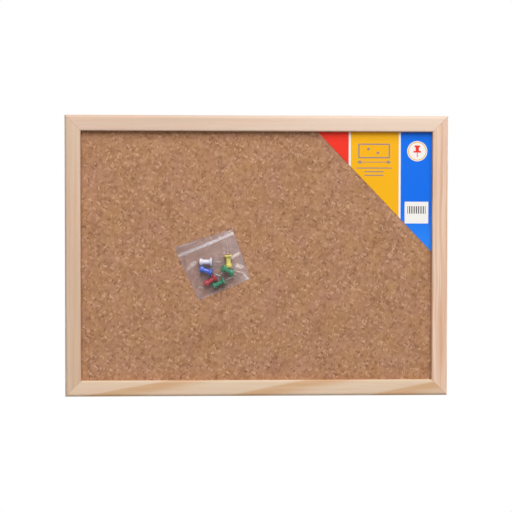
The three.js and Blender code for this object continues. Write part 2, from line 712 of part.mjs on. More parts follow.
// The sachet's own frame has x along the zip, y towards it and z away from the cork.
const sachet = group(
  piece("sachet_glue_dot", glueDot, GLUE),
  piece("sachet_film_back", backFilmGeometry(), FILM),
  piece("sachet_film_front", frontFilmGeometry(), FILM),
  piece("sachet_zip_channel", zipChannel(), FILM),
  piece("sachet_zip_rib", zipRib(), FILM),
  ...heap.map(pushPin),
);
sachet.rotation.z = SACHET_TURN;
const sachetPlace = group(sachet);
sachetPlace.rotation.x = Math.PI / 2;
sachetPlace.position.set(SACHET_ACROSS, CORK_FACE, SACHET_UP);

const board = group(frame, nails, panel, hangers, label, sachetPlace);
board.position.z = RAIL_WIDTH / 2 - BOARD_HEIGHT / 2;

export default group(board);
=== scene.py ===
"""Dresses a framed cork pin board: pine rails, cork, a printed corner card and a sachet of push pins."""

from __future__ import annotations

import logging
import math
from dataclasses import dataclass, field
from enum import Enum
from functools import reduce
from typing import Optional, Sequence, Union

import bmesh
import bpy
import numpy as np
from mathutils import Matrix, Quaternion, Vector, noise
from mathutils.bvhtree import BVHTree


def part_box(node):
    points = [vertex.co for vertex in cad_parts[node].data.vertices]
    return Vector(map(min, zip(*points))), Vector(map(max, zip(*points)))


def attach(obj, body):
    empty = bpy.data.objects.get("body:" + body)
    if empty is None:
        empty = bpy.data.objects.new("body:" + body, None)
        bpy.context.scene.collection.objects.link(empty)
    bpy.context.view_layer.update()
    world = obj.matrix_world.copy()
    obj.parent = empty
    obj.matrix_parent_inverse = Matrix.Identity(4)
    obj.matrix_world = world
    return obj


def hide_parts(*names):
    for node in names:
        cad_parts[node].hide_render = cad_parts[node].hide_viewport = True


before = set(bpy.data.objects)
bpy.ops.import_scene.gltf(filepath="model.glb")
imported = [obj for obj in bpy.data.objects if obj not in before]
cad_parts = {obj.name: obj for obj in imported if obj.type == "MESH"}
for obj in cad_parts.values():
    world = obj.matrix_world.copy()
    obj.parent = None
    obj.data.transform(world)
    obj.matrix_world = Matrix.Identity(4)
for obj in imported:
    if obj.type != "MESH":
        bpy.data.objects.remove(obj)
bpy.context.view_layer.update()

LOG = logging.getLogger("pin_board")
MM = 0.001
PER_MM = 1000.0
Colour = tuple[float, float, float, float]
Pair = tuple[float, float]
Triple = tuple[float, float, float]
WHITE: Colour = (1.0, 1.0, 1.0, 1.0)
SAME_POINT = 1e-6
POINT_DIGITS = 7
SAME_PLANE = math.radians(1.0)


def srgb(red: int, green: int, blue: int) -> Colour:
    """A colour given as it looks on a screen, as the linear colour that shaders use.

    Args:
        red: its red part, 0 to 255.
        green: its green part.
        blue: its blue part.

    Returns:
        The linear colour.
    """
    linear = []
    for part in (red, green, blue):
        share = part / 255
        linear.append(share / 12.92 if share <= 0.04045 else ((share + 0.055) / 1.055) ** 2.4)
    return (linear[0], linear[1], linear[2], 1.0)


class Value:
    """A shader socket that can be used in Python expressions."""

    def __init__(self, graph: Graph, socket: Optional[bpy.types.NodeSocket]) -> None:
        """Keeps the socket and the graph that it belongs to."""
        self.graph = graph
        self.socket = socket

    def sibling(self, name: str) -> Value:
        """Another output of the same node."""
        return Value(self.graph, self.socket.node.outputs[name])

    def math(self, operation: str, *operands: Operand) -> Value:
        """One Math node on these operands."""
        return self.graph.node("ShaderNodeMath", {"operation": operation}, dict(enumerate(operands)))

    def __add__(self, other: Operand) -> Value:
        """self + other."""
        return self.math("ADD", self, other)

    def __radd__(self, other: Operand) -> Value:
        """other + self."""
        return self.math("ADD", other, self)

    def __sub__(self, other: Operand) -> Value:
        """self - other."""
        return self.math("SUBTRACT", self, other)

    def __rsub__(self, other: Operand) -> Value:
        """other - self."""
        return self.math("SUBTRACT", other, self)

    def __mul__(self, other: Operand) -> Value:
        """self * other."""
        return self.math("MULTIPLY", self, other)

    def __rmul__(self, other: Operand) -> Value:
        """other * self."""
        return self.math("MULTIPLY", other, self)

    def __truediv__(self, other: Operand) -> Value:
        """self / other."""
        return self.math("DIVIDE", self, other)

    def __pow__(self, other: Operand) -> Value:
        """self to a power."""
        return self.math("POWER", self, other)

    def __abs__(self) -> Value:
        """The size without the sign."""
        return self.math("ABSOLUTE", self)

    def fraction(self) -> Value:
        """What is left past the whole number."""
        return self.math("FRACT", self)

    def sine(self) -> Value:
        """The sine of an angle in radians."""
        return self.math("SINE", self)

    def least(self, other: Operand) -> Value:
        """The smaller of the two."""
        return self.math("MINIMUM", self, other)

    def most(self, other: Operand) -> Value:
        """The larger of the two."""
        return self.math("MAXIMUM", self, other)

    def clip(self, low: float, high: float) -> Value:
        """The value kept between low and high."""
        return self.most(low).least(high)

    def lifted(self, least: float) -> Value:
        """A share from 0 to 1, as a share from least to 1."""
        return least + self * (1 - least)

    def step(self, low: float, high: float) -> Value:
        """A smooth rise from 0 at low to 1 at high."""
        sockets = {"Value": self, "From Min": low, "From Max": high, "To Min": 0.0, "To Max": 1.0}
        return self.graph.node("ShaderNodeMapRange", {"interpolation_type": "SMOOTHSTEP"}, sockets)


Operand = Union[Value, float]
Tint = Union[Value, Colour]
Spot = tuple[Value, Value]
Cover = tuple[Value, Colour]
Measure = Union[Value, np.ndarray]


class Graph:
    """The node tree of one material, built node by node."""

    def __init__(self, tree: bpy.types.NodeTree) -> None:
        """Starts from an empty tree."""
        self.tree = tree
        tree.nodes.clear()

    def node(self, kind: str, settings: dict, sockets: dict, output: Union[int, str] = 0) -> Value:
        """Adds one node.

        Args:
            kind: the node's type.
            settings: its properties, which are set first; "stops" are a ramp's places and colours.
            sockets: plain values or Values for its inputs, by name or number.
            output: which of its outputs is wanted.

        Returns:
            That output, or a Value without a socket where the node has none.
        """
        made = self.tree.nodes.new(kind)
        for name, setting in settings.items():
            if name == "stops":
                self.set_stops(made.color_ramp, setting)
            else:
                setattr(made, name, setting)
        for key, source in sockets.items():
            if isinstance(source, Value):
                self.tree.links.new(source.socket, made.inputs[key])
            else:
                made.inputs[key].default_value = source
        return Value(self, made.outputs[output] if made.outputs else None)

    def set_stops(self, ramp: bpy.types.ColorRamp, stops: Sequence[tuple[float, Colour]]) -> None:
        """Gives a ramp these stops.

        Args:
            ramp: the ramp of a new Color Ramp node.
            stops: places from 0 to 1, each with its colour.
        """
        while len(ramp.elements) < len(stops):
            ramp.elements.new(1.0)
        for element, (place, colour) in zip(ramp.elements, stops):
            element.position = place
            element.color = colour

    def place(self) -> Value:
        """Where a point is on the board, in metres."""
        return self.node("ShaderNodeTexCoord", {}, {}, "Object")

    def millimetres(self) -> Value:
        """Where a point is on the board, in millimetres."""
        return self.scaled(self.place(), (PER_MM, PER_MM, PER_MM))

    def split(self, vector: Value) -> tuple[Value, Value, Value]:
        """The three parts of a vector."""
        x = self.node("ShaderNodeSeparateXYZ", {}, {0: vector}, "X")
        return x, x.sibling("Y"), x.sibling("Z")

    def join(self, x: Operand, y: Operand, z: Operand) -> Value:
        """A vector from its three parts."""
        return self.node("ShaderNodeCombineXYZ", {}, {0: x, 1: y, 2: z})

    def scaled(self, vector: Value, factors: Triple) -> Value:
        """A vector with each part multiplied by its own factor."""
        return self.node("ShaderNodeVectorMath", {"operation": "MULTIPLY"}, {0: vector, 1: factors})

    def shifted(self, vector: Value, offset: Union[Value, Triple]) -> Value:
        """A vector moved by an offset."""
        return self.node("ShaderNodeVectorMath", {"operation": "ADD"}, {0: vector, 1: offset})

    def noise(self, vector: Value, scale: float, detail: float = 2.0, rough: float = 0.5) -> Value:
        """Soft noise about 0.5."""
        sockets = {"Vector": vector, "Scale": scale, "Detail": detail, "Roughness": rough}
        return self.node("ShaderNodeTexNoise", {}, sockets, "Fac")

    def wander(self, vector: Value, scale: float, reach: float) -> Value:
        """A vector pushed about by noise.

        Args:
            vector: the vector to push.
            scale: how fine the noise is.
            reach: how far a point moves at most.

        Returns:
            The pushed vector.
        """
        sockets = {"Vector": vector, "Scale": scale, "Detail": 2.0}
        colour = self.node("ShaderNodeTexNoise", {}, sockets, "Color")
        centred = self.shifted(colour, (-0.5, -0.5, -0.5))
        return self.shifted(vector, self.scaled(centred, (2 * reach, 2 * reach, 2 * reach)))

    def cells(self, vector: Value, scale: float) -> tuple[Value, Value]:
        """Irregular flat cells.

        Args:
            vector: where the pattern is read.
            scale: cells per unit.

        Returns:
            The distance from a cell's middle, and a random number of its own.
        """
        sockets = {"Vector": vector, "Scale": scale}
        distance = self.node("ShaderNodeTexVoronoi", {"voronoi_dimensions": "2D"}, sockets, "Distance")
        return distance, self.node("ShaderNodeSeparateColor", {}, {0: distance.sibling("Color")})

    def layers(self, ground: Tint, *coats: tuple[Operand, Tint]) -> Value:
        """Colours laid over each other.

        Args:
            ground: the lowest colour.
            coats: the colours over it, each with the share of it that covers, in their order.

        Returns:
            The colour that shows.
        """
        settings = {"data_type": "RGBA", "blend_type": "MIX"}
        for share, coat in coats:
            ground = self.node("ShaderNodeMix", settings, {0: share, 6: ground, 7: coat}, 2)
        return ground

    def ramp(self, share: Value, stops: Sequence[tuple[float, Colour]]) -> Value:
        """A colour read off a ramp."""
        return self.node("ShaderNodeValToRGB", {"stops": stops}, {0: share}, "Color")

    def bump(self, height: Value, depth: float, strength: float = 1.0) -> Value:
        """A normal that follows a height from 0 to 1, which stands for this depth in metres."""
        sockets = {"Height": height, "Distance": depth, "Strength": strength}
        return self.node("ShaderNodeBump", {}, sockets)

    def principled(self, colour: Tint, rough: Operand, others: dict) -> Value:
        """A Principled shader with this colour and roughness, and values for its other sockets."""
        sockets = {"Base Color": colour, "Roughness": rough, **others}
        return self.node("ShaderNodeBsdfPrincipled", {}, sockets)

    def mixed(self, share: Value, under: Value, over: Value) -> Value:
        """Two shaders mixed by the share of the second."""
        return self.node("ShaderNodeMixShader", {}, {0: share, 1: under, 2: over})

    def see_through(self, share: Value, solid: Value, tint: Colour = WHITE) -> Value:
        """A shader of which this share covers what is behind it, which it tints."""
        return self.mixed(share, self.node("ShaderNodeBsdfTransparent", {}, {"Color": tint}), solid)

    def seen(self) -> Value:
        """1 where the camera, a mirror or a clear thing looks, 0 where light falls."""
        path = self.node("ShaderNodeLightPath", {}, {}, "Is Camera Ray")
        return path.most(path.sibling("Is Glossy Ray")).most(path.sibling("Is Transmission Ray"))


@dataclass(frozen=True)
class Pattern:
    """Soft noise: how fine it is, its detail and roughness, how it is drawn out and where it starts.

    Its wander is how fine the noise is that pushes it about first, and how far.
    """

    scale: float
    detail: float = 2.0
    rough: float = 0.5
    draw: Triple = (1.0, 1.0, 1.0)
    start: Triple = (0.0, 0.0, 0.0)
    wander: Optional[Pair] = None

    def at(self, graph: Graph, place: Value) -> Value:
        """Reads the noise.

        Args:
            graph: the material's graph.
            place: where it is read, in millimetres.

        Returns:
            Numbers about 0.5.
        """
        if self.wander:
            place = graph.wander(place, *self.wander)
        drawn = graph.shifted(graph.scaled(place, self.draw), self.start)
        return graph.noise(drawn, self.scale, self.detail, self.rough)


@dataclass(frozen=True)
class Granules:
    """Irregular cells: how many there are per millimetre, and how finely and far they are pushed about."""

    scale: float
    wander: Pair

    def at(self, graph: Graph, place: Value) -> tuple[Value, Value]:
        """The distance from a cell's middle, and a random number of its own."""
        return graph.cells(graph.wander(place, *self.wander), self.scale)


@dataclass(frozen=True)
class Fade:
    """How a number turns into a share: 0 at start, and most at full and past it."""

    start: float
    full: float
    most: float = 1.0

    def of(self, number: Value) -> Value:
        """The share that this number gives."""
        return number.step(self.start, self.full) * self.most


@dataclass(frozen=True)
class Finish:
    """What a surface is made of. Each kind gives its own shader."""

    name: str

    def surface(self, graph: Graph) -> Value:
        """The shader of this finish."""
        raise NotImplementedError

    def material(self) -> bpy.types.Material:
        """Makes a material.

        Returns:
            The material with this finish.
        """
        made = bpy.data.materials.new(self.name)
        made.use_nodes = True
        graph = Graph(made.node_tree)
        graph.node("ShaderNodeOutputMaterial", {}, {"Surface": self.surface(graph)})
        return made


class Grain(Enum):
    """Which way a rail's grain runs."""

    ACROSS = "across"
    UPRIGHT = "upright"


@dataclass(frozen=True)
class PineFinish(Finish):
    """Planed, thinly sealed pine whose grain runs along the rail.

    Each rail is its own stretch of plank: shift says which, drift how fast the rings run off across
    the rail, ring how far apart they are, phase where they start, show how strong they are, sway how
    much they wander and streaks how strong the fine lengthwise streaks are. A painted highlight makes
    the far end paler, the top of an upright rail and the right end of a level one, where more light
    falls; its share says how much. The patterns are drawn out along the grain, across it and into the
    wood.
    """

    grain: Grain
    early: Colour
    shift: float
    drift: float
    ring: float
    phase: float
    show: float
    sway: float
    streaks: float
    painted_highlight: float = 0.0
    ring_slope: float = 0.3
    ring_least: float = 0.5
    ring_patchy: float = 0.7
    waves: Pattern = Pattern(1.0, draw=(0.009, 0.02, 0.02))
    patches: Pattern = Pattern(1.0, draw=(0.012, 0.14, 0.14))
    stripes: Pattern = Pattern(1.0, draw=(0.007, 0.42, 0.4))
    blends: Pattern = Pattern(1.0, draw=(0.011, 0.3, 0.3), start=(40.0, 0.0, 0.0))
    fibres: Pattern = Pattern(1.0, 4.0, 0.6, draw=(0.035, 2.1, 2.1))
    dashes: Pattern = Pattern(1.0, 1.0, draw=(0.14, 2.4, 2.4))
    late_rise: Fade = Fade(0.4, 0.78)
    late_fall: Fade = Fade(0.98, 0.88)
    pink_patch: Fade = Fade(0.4, 0.7, 0.4)
    pink_blend: Fade = Fade(0.46, 0.66)
    pale_stripe: Fade = Fade(0.5, 0.68, 0.8)
    late_stripe: Fade = Fade(0.46, 0.32, 0.3)
    pale_fibre: Fade = Fade(0.5, 0.22, 0.22)
    dark_fibre: Fade = Fade(0.5, 0.8, 0.22)
    dark_dash: Fade = Fade(0.68, 0.8, 0.2)
    # painted highlight: paler towards the upper right end of each rail, where more light falls
    painted_highlight_end: Fade = Fade(-130.0, 170.0)
    late: Colour = srgb(204, 157, 110)
    pink: Colour = srgb(224, 182, 160)
    pale: Colour = srgb(236, 213, 193)
    dark: Colour = srgb(186, 142, 110)

    def surface(self, graph: Graph) -> Value:
        """Rings, soft patches, streaks and fine fibres, all drawn out along the grain.

        Args:
            graph: the material's graph.

        Returns:
            The shader.
        """
        x, depth, z = graph.split(graph.millimetres())
        length, across = (x, z) if self.grain is Grain.ACROSS else (z, x)
        along = length + self.shift
        place = graph.join(along, across, depth)
        sway = (self.waves.at(graph, place) - 0.5) * self.sway
        rings = across + length * self.drift + depth * self.ring_slope + sway + self.phase
        share = (rings / self.ring).fraction()
        late = self.late_rise.of(share) * self.late_fall.of(share)
        bent = graph.join(along, across + sway, depth)
        patch = self.patches.at(graph, place)
        stripe = self.stripes.at(graph, bent)
        blend = self.blends.at(graph, bent)
        fibre = self.fibres.at(graph, place)
        dash = self.dashes.at(graph, place)
        colour = graph.layers(
            self.early,
            (self.pink_patch.of(patch), self.pink),
            (self.pink_blend.of(blend) * self.streaks, self.pink),
            (late * self.show * (self.ring_least + patch * self.ring_patchy), self.late),
            (self.pale_stripe.of(stripe) * self.streaks, self.pale),
            (self.late_stripe.of(stripe) * self.streaks, self.late),
            (self.pale_fibre.of(fibre), self.pale),
            (self.dark_fibre.of(fibre), self.dark),
            (self.dark_dash.of(dash), self.dark),
            # painted highlight at the rail's lit end
            (self.painted_highlight_end.of(length) * self.painted_highlight, self.pale),
        )
        normal = graph.bump(fibre * 0.6 + late * 0.4, depth=0.12 * MM, strength=0.5)
        rough = 0.5 + fibre * 0.2
        return graph.principled(colour, rough, {"Specular IOR Level": 0.22, "Normal": normal})


@dataclass(frozen=True)
class CorkFinish(Finish):
    """Sanded cork made of pressed granules, with painted shade darkening it along the frame's sides and
    top.

    The cork shows from left to right and up to top, in millimetres. Each lie is the way that some of its
    long slivers run, in degrees, and their spacing. The tone shares say how far a grain, a crumb and a
    cloud decide a place's tone.
    """

    left: float
    right: float
    top: float
    lies: tuple[Pair, ...] = ((40.0, 6.5), (-32.0, 8.0), (84.0, 5.5))
    slimness: float = 2.2
    sliver_wander: Pair = (0.3, 1.2)
    grains: Granules = Granules(0.24, (0.3, 1.6))
    crumbs: Granules = Granules(0.7, (1.0, 0.5))
    clouds: Pattern = Pattern(0.035, 3.0)
    warmth: Pattern = Pattern(0.045, 3.0, start=(90.0, 40.0, 0.0))
    coolness: Pattern = Pattern(0.03, 3.0, start=(30.0, 170.0, 0.0))
    crowds: Pattern = Pattern(0.06, 2.0, start=(60.0, 110.0, 0.0))
    tone_shares: Triple = (0.42, 0.16, 0.42)
    ochre_fade: Fade = Fade(0.42, 0.66, 0.4)
    rose_fade: Fade = Fade(0.45, 0.68, 0.4)
    gap_fade: Fade = Fade(0.45, 0.8, 0.22)
    crowd_fade: Fade = Fade(0.3, 0.62)
    crowd_least: float = 0.4
    sliver_fade: Fade = Fade(0.4, 0.14)
    pale_slivers: Fade = Fade(0.81, 0.88)
    dark_slivers: Fade = Fade(0.26, 0.2)
    pale_share: float = 0.5
    dark_share: float = 0.46
    # painted shade: the cork darkens within 2.6 mm of the frame's sides and top, where the rails shade it
    painted_frame_shade: Fade = Fade(2.6, 0.0, 0.3)
    painted_frame_shade_least: float = 0.35
    tones: tuple[tuple[float, Colour], ...] = (
        (0.15, srgb(157, 111, 80)),
        (0.38, srgb(169, 124, 91)),
        (0.55, srgb(177, 132, 99)),
        (0.72, srgb(184, 139, 106)),
        (0.92, srgb(195, 152, 119)),
    )
    pale: Colour = srgb(218, 177, 146)
    dark: Colour = srgb(112, 73, 50)
    ochre: Colour = srgb(181, 135, 90)
    rose: Colour = srgb(177, 128, 108)

    def slivers(self, graph: Graph, spot: Spot, lie: Pair) -> tuple[Value, Value]:
        """Long granules that lie one way.

        Args:
            graph: the material's graph.
            spot: millimetres along the board and up it.
            lie: the way they lie and their spacing.

        Returns:
            The distance from a granule's middle, and a random number of its own.
        """
        turn, size = lie
        x, z = spot
        cosine = math.cos(math.radians(turn))
        sine = math.sin(math.radians(turn))
        lengthwise = x * cosine + z * sine + turn
        crosswise = (z * cosine - x * sine) * self.slimness
        granules = Granules(1 / size, self.sliver_wander)
        return granules.at(graph, graph.join(lengthwise, crosswise, 0.0))

    def surface(self, graph: Graph) -> Value:
        """Pressed granules of two sizes with pale and dark slivers among them.

        Args:
            graph: the material's graph.

        Returns:
            The shader.
        """
        x, _, z = graph.split(graph.millimetres())
        place = graph.join(x, z, 0.0)
        edge, tone = self.grains.at(graph, place)
        crumb_edge, crumb = self.crumbs.at(graph, place)
        cloud = self.clouds.at(graph, place)
        by_grain, by_crumb, by_cloud = self.tone_shares
        colour = graph.layers(
            graph.ramp(tone * by_grain + crumb * by_crumb + cloud * by_cloud, self.tones),
            (self.ochre_fade.of(self.warmth.at(graph, place)), self.ochre),
            (self.rose_fade.of(self.coolness.at(graph, place)), self.rose),
            (self.gap_fade.of(edge), self.dark),
        )
        height = (1 - edge) * 0.4 + (1 - crumb_edge) * 0.2
        crowd = self.crowd_fade.of(self.crowds.at(graph, place)).lifted(self.crowd_least)
        for lie in self.lies:
            away, own = self.slivers(graph, (x, z), lie)
            body = self.sliver_fade.of(away) * crowd
            light = self.pale_slivers.of(own) * body
            deep = self.dark_slivers.of(own) * body
            slivers = ((light * self.pale_share, self.pale), (deep * self.dark_share, self.dark))
            colour = graph.layers(colour, *slivers)
            height = height + light * 0.15 - deep * 0.25
        # painted shade along the frame's sides and top, broken up by the crumbs
        rim = (x - self.left).least(self.right - x).least(self.top - z)
        colour = graph.layers(colour, (self.painted_frame_shade.of(rim) * crumb.lifted(self.painted_frame_shade_least), self.dark))
        normal = graph.bump(height, depth=0.3 * MM, strength=0.35)
        rough = 0.82 + tone * 0.12
        return graph.principled(colour, rough, {"Specular IOR Level": 0.2, "Normal": normal})


@dataclass(frozen=True)
class HardboardFinish(Finish):
    """Pressed brown fibre sheet with the press screen's print on its back."""

    screen: float = 1.3
    screen_wander: Pair = (0.2, 0.15)
    # the share of painted shade in the screen print's hollows
    painted_hollow_shade: float = 0.22
    fibres: Pattern = Pattern(0.6, 5.0, 0.65, wander=(0.3, 2.0))
    clouds: Pattern = Pattern(0.02, 3.0)
    fibre_fade: Fade = Fade(0.3, 0.7)
    cloud_fade: Fade = Fade(0.35, 0.7, 0.35)
    ground: Colour = srgb(101, 67, 42)
    tan: Colour = srgb(146, 104, 68)
    stain: Colour = srgb(122, 80, 50)
    hollow: Colour = srgb(78, 50, 31)

    def surface(self, graph: Graph) -> Value:
        """Matted fibres under a fine woven print, with painted shade in the print's hollows.

        Args:
            graph: the material's graph.

        Returns:
            The shader.
        """
        place = graph.millimetres()
        x, _, z = graph.split(graph.wander(place, *self.screen_wander))
        turn = 2 * math.pi / self.screen
        weave = (x * turn).sine() * (z * turn).sine() * 0.5 + 0.5
        fibre = self.fibres.at(graph, place)
        colour = graph.layers(
            self.ground,
            (self.fibre_fade.of(fibre), self.tan),
            (self.cloud_fade.of(self.clouds.at(graph, place)), self.stain),
            # painted shade in the weave's hollows
            ((1 - weave) * self.painted_hollow_shade, self.hollow),
        )
        normal = graph.bump(weave * 0.7 + fibre * 0.3, depth=0.12 * MM)
        return graph.principled(colour, 0.62 + fibre * 0.2, {"Normal": normal})


@dataclass(frozen=True)
class SoftboardFinish(Finish):
    """Loose pressed wood fibre."""

    fibres: Pattern = Pattern(0.9, 5.0, 0.7, wander=(0.4, 1.6))
    fibre_fade: Fade = Fade(0.3, 0.7)
    ground: Colour = srgb(150, 118, 84)
    tan: Colour = srgb(196, 164, 124)

    def surface(self, graph: Graph) -> Value:
        """Short tan fibres in a felted mat.

        Args:
            graph: the material's graph.

        Returns:
            The shader.
        """
        fibre = self.fibres.at(graph, graph.millimetres())
        colour = graph.layers(self.ground, (self.fibre_fade.of(fibre), self.tan))
        return graph.principled(colour, 0.95, {"Normal": graph.bump(fibre, depth=0.3 * MM)})


@dataclass(frozen=True)
class MetalFinish(Finish):
    """Plated or bright steel, which is duller in its clouds."""

    tint: Colour
    rough: float
    cloud: float = 0.35
    dulling: float = 0.72
    rub_rough: float = 0.16
    cloud_rough: float = 0.06
    clouds: Pattern = Pattern(0.5, 3.0)
    rubs: Pattern = Pattern(1.2, 3.0, draw=(0.6, 3.0, 4.0), wander=(0.3, 0.6))
    cloud_fade: Fade = Fade(0.35, 0.75)

    def surface(self, graph: Graph) -> Value:
        """Metal with faint clouds and rub marks.

        Args:
            graph: the material's graph.

        Returns:
            The shader.
        """
        place = graph.millimetres()
        cloud = self.clouds.at(graph, place)
        rub = self.rubs.at(graph, place)
        dull = tuple(part * self.dulling for part in self.tint[:3]) + (1.0,)
        colour = graph.layers(self.tint, (self.cloud_fade.of(cloud) * self.cloud, dull))
        rough = self.rough + rub * self.rub_rough + cloud * self.cloud_rough
        normal = graph.bump(rub, depth=0.02 * MM, strength=0.5)
        return graph.principled(colour, rough, {"Metallic": 1.0, "Normal": normal})


@dataclass(frozen=True)
class PinPlasticFinish(Finish):
    """Glossy moulded plastic of a push pin's head."""

    tint: Colour
    deep: Colour
    rough: float = 0.16
    flows: Pattern = Pattern(0.3, 2.0, wander=(0.25, 1.2))
    scuffs: Pattern = Pattern(1.6, 4.0, draw=(1.0, 1.0, 4.0))
    flow_fade: Fade = Fade(0.3, 0.75, 0.5)
    scuff_rough: Fade = Fade(0.45, 0.8, 0.16)

    def surface(self, graph: Graph) -> Value:
        """One colour with faint flow marks and handling scuffs.

        Args:
            graph: the material's graph.

        Returns:
            The shader.
        """
        place = graph.millimetres()
        scuff = self.scuffs.at(graph, place)
        colour = graph.layers(self.tint, (self.flow_fade.of(self.flows.at(graph, place)), self.deep))
        rough = self.rough + self.scuff_rough.of(scuff)
        gloss = {"Specular IOR Level": 0.55, "Coat Weight": 0.3, "Coat Roughness": 0.08}
        normal = graph.bump(scuff, depth=0.01 * MM, strength=0.4)
        return graph.principled(colour, rough, {**gloss, "Normal": normal})


@dataclass(frozen=True)
class SheetPlace:
    """Where a flat thing lies on the cork: its middle, its turn and half its size."""

    middle: Vector
    turn: float
    half_width: float
    half_height: float

    def local(self, graph: Graph) -> Spot:
        """Measures from the thing's middle.

        Args:
            graph: the material's graph.

        Returns:
            Millimetres along the thing and up it.
        """
        x, _, z = graph.split(graph.place())
        across = (x - self.middle.x) * PER_MM
        rise = (z - self.middle.z) * PER_MM
        cosine = math.cos(self.turn)
        sine = math.sin(self.turn)
        return across * cosine + rise * sine, rise * cosine - across * sine


@dataclass(frozen=True)
class Fold:
    """A raised crease in the film, in millimetres on the sachet, and how strong the painted glint along it
    is.

    Along its run, its height follows half a sine wave that has the fade share cut off at both ends. Its
    painted glint is full within core and gone past reach, both as shares of its width.
    """

    start: Pair
    end: Pair
    height: float
    width: float
    painted_glint: float = 0.0
    fade: float = 0.15
    core: float = 0.3
    reach: float = 1.5

    def measure(self, along: Measure, up: Measure) -> tuple[Measure, Measure]:
        """Where places lie by the crease.

        Args:
            along: millimetres along the sachet.
            up: millimetres up it.

        Returns:
            The share of the crease's run, from 0 to 1, and the distance from the crease.
        """
        run = (self.end[0] - self.start[0], self.end[1] - self.start[1])
        across = along - self.start[0]
        rise = up - self.start[1]
        share = ((across * run[0] + rise * run[1]) / (run[0] * run[0] + run[1] * run[1])).clip(0.0, 1.0)
        aside = across - share * run[0]
        above = rise - share * run[1]
        return share, (aside * aside + above * above) ** 0.5

    def ridge(self, along: np.ndarray, up: np.ndarray) -> np.ndarray:
        """The crease's shape, which is lower towards its ends.

        Args:
            along: millimetres along the sachet.
            up: millimetres up it.

        Returns:
            Heights in millimetres.
        """
        share, away = self.measure(along, up)
        crest = np.sin(np.pi * (self.fade + (1 - 2 * self.fade) * share))
        return self.height * crest * np.exp(-((away / self.width) ** 2))

    def pale(self, along: Value, up: Value) -> Value:
        """The painted glint: how pale each place is, which is most along the crease's middle."""
        _, away = self.measure(along, up)
        return Fade(self.width * self.reach, self.width * self.core, self.painted_glint).of(away)


@dataclass(frozen=True)
class FilmFinish(Finish):
    """Clear sachet film: mostly seen through, hazy at its welds, with painted highlights along its creases
    and towards its right side.

    The weld's haze goes by shares of the weld's width, and the zip's by millimetres from its line.
    """

    place: SheetPlace
    weld: float
    zip_line: float
    haze: float
    folds: tuple[Fold, ...] = ()
    pulls: Pattern = Pattern(1.0, 3.0, draw=(0.35, 0.06, 1.0), wander=(0.06, 3.0))
    clouds: Pattern = Pattern(0.09, 2.0)
    patches: Pattern = Pattern(0.5, 2.0, wander=(0.2, 2.0))
    pull_haze: Fade = Fade(0.56, 0.74, 0.04)
    cloud_haze: Fade = Fade(0.5, 0.8, 0.02)
    zip_haze: Fade = Fade(2.6, 1.0, 0.1)
    weld_haze: Fade = Fade(1.1, 0.8, 0.02)
    edge_haze: float = 0.12
    edge_blend: float = 0.35
    most_haze: float = 0.9
    # painted highlight: paler towards the sachet's right side
    painted_side_highlight: Fade = Fade(12.0, 26.0, 0.09)
    patch_fade: Fade = Fade(0.25, 0.6)
    patch_least: float = 0.4
    painted_glint_gain: float = 4.0
    veil: Colour = srgb(180, 172, 184)
    # the colour of the painted glints
    crease: Colour = srgb(246, 232, 222)
    through: Colour = (0.97, 0.97, 0.98, 1.0)

    def gleams(self, graph: Graph, along: Value, up: Value) -> Value:
        """The painted highlights along the folds and towards the sachet's right side.

        Args:
            graph: the material's graph.
            along: millimetres along the sachet.
            up: millimetres up it.

        Returns:
            How pale each place is.
        """
        creases = [fold.pale(along, up) for fold in self.folds if fold.painted_glint]
        patch = self.patch_fade.of(self.patches.at(graph, graph.join(along, up, 0.0)))
        pale = reduce(Value.most, creases) + self.painted_side_highlight.of(along)
        return pale * patch.lifted(self.patch_least)

    def surface(self, graph: Graph) -> Value:
        """A gloss film mixed with what is behind it.

        Args:
            graph: the material's graph.

        Returns:
            The shader.
        """
        along, up = self.place.local(graph)
        spot = graph.join(along, up, 0.0)
        side = self.place.half_width * PER_MM - abs(along)
        rim = side.least(up + self.place.half_height * PER_MM)
        pull = self.pulls.at(graph, spot)
        cloud = self.clouds.at(graph, spot)
        edge = graph.node("ShaderNodeLayerWeight", {}, {"Blend": self.edge_blend}, "Facing")
        share = self.haze + self.pull_haze.of(pull) + self.cloud_haze.of(cloud)
        share = share + self.zip_haze.of(abs(up - self.zip_line * PER_MM))
        share = share + self.weld_haze.of(rim / (self.weld * PER_MM)) + edge * edge * self.edge_haze
        colour = self.veil
        # painted glints along the folds and towards the right side
        if self.folds:
            painted_glint = self.gleams(graph, along, up)
            share = share + painted_glint
            colour = graph.layers(self.veil, ((painted_glint * self.painted_glint_gain).least(1.0), self.crease))
        gloss = {"Specular IOR Level": 0.8, "Coat Weight": 1.0, "Coat Roughness": 0.06}
        normal = graph.bump(pull, depth=0.25 * MM, strength=0.6)
        film = graph.principled(colour, 0.2 + cloud * 0.16, {**gloss, "Normal": normal})
        return graph.see_through(share.least(self.most_haze), film, self.through)


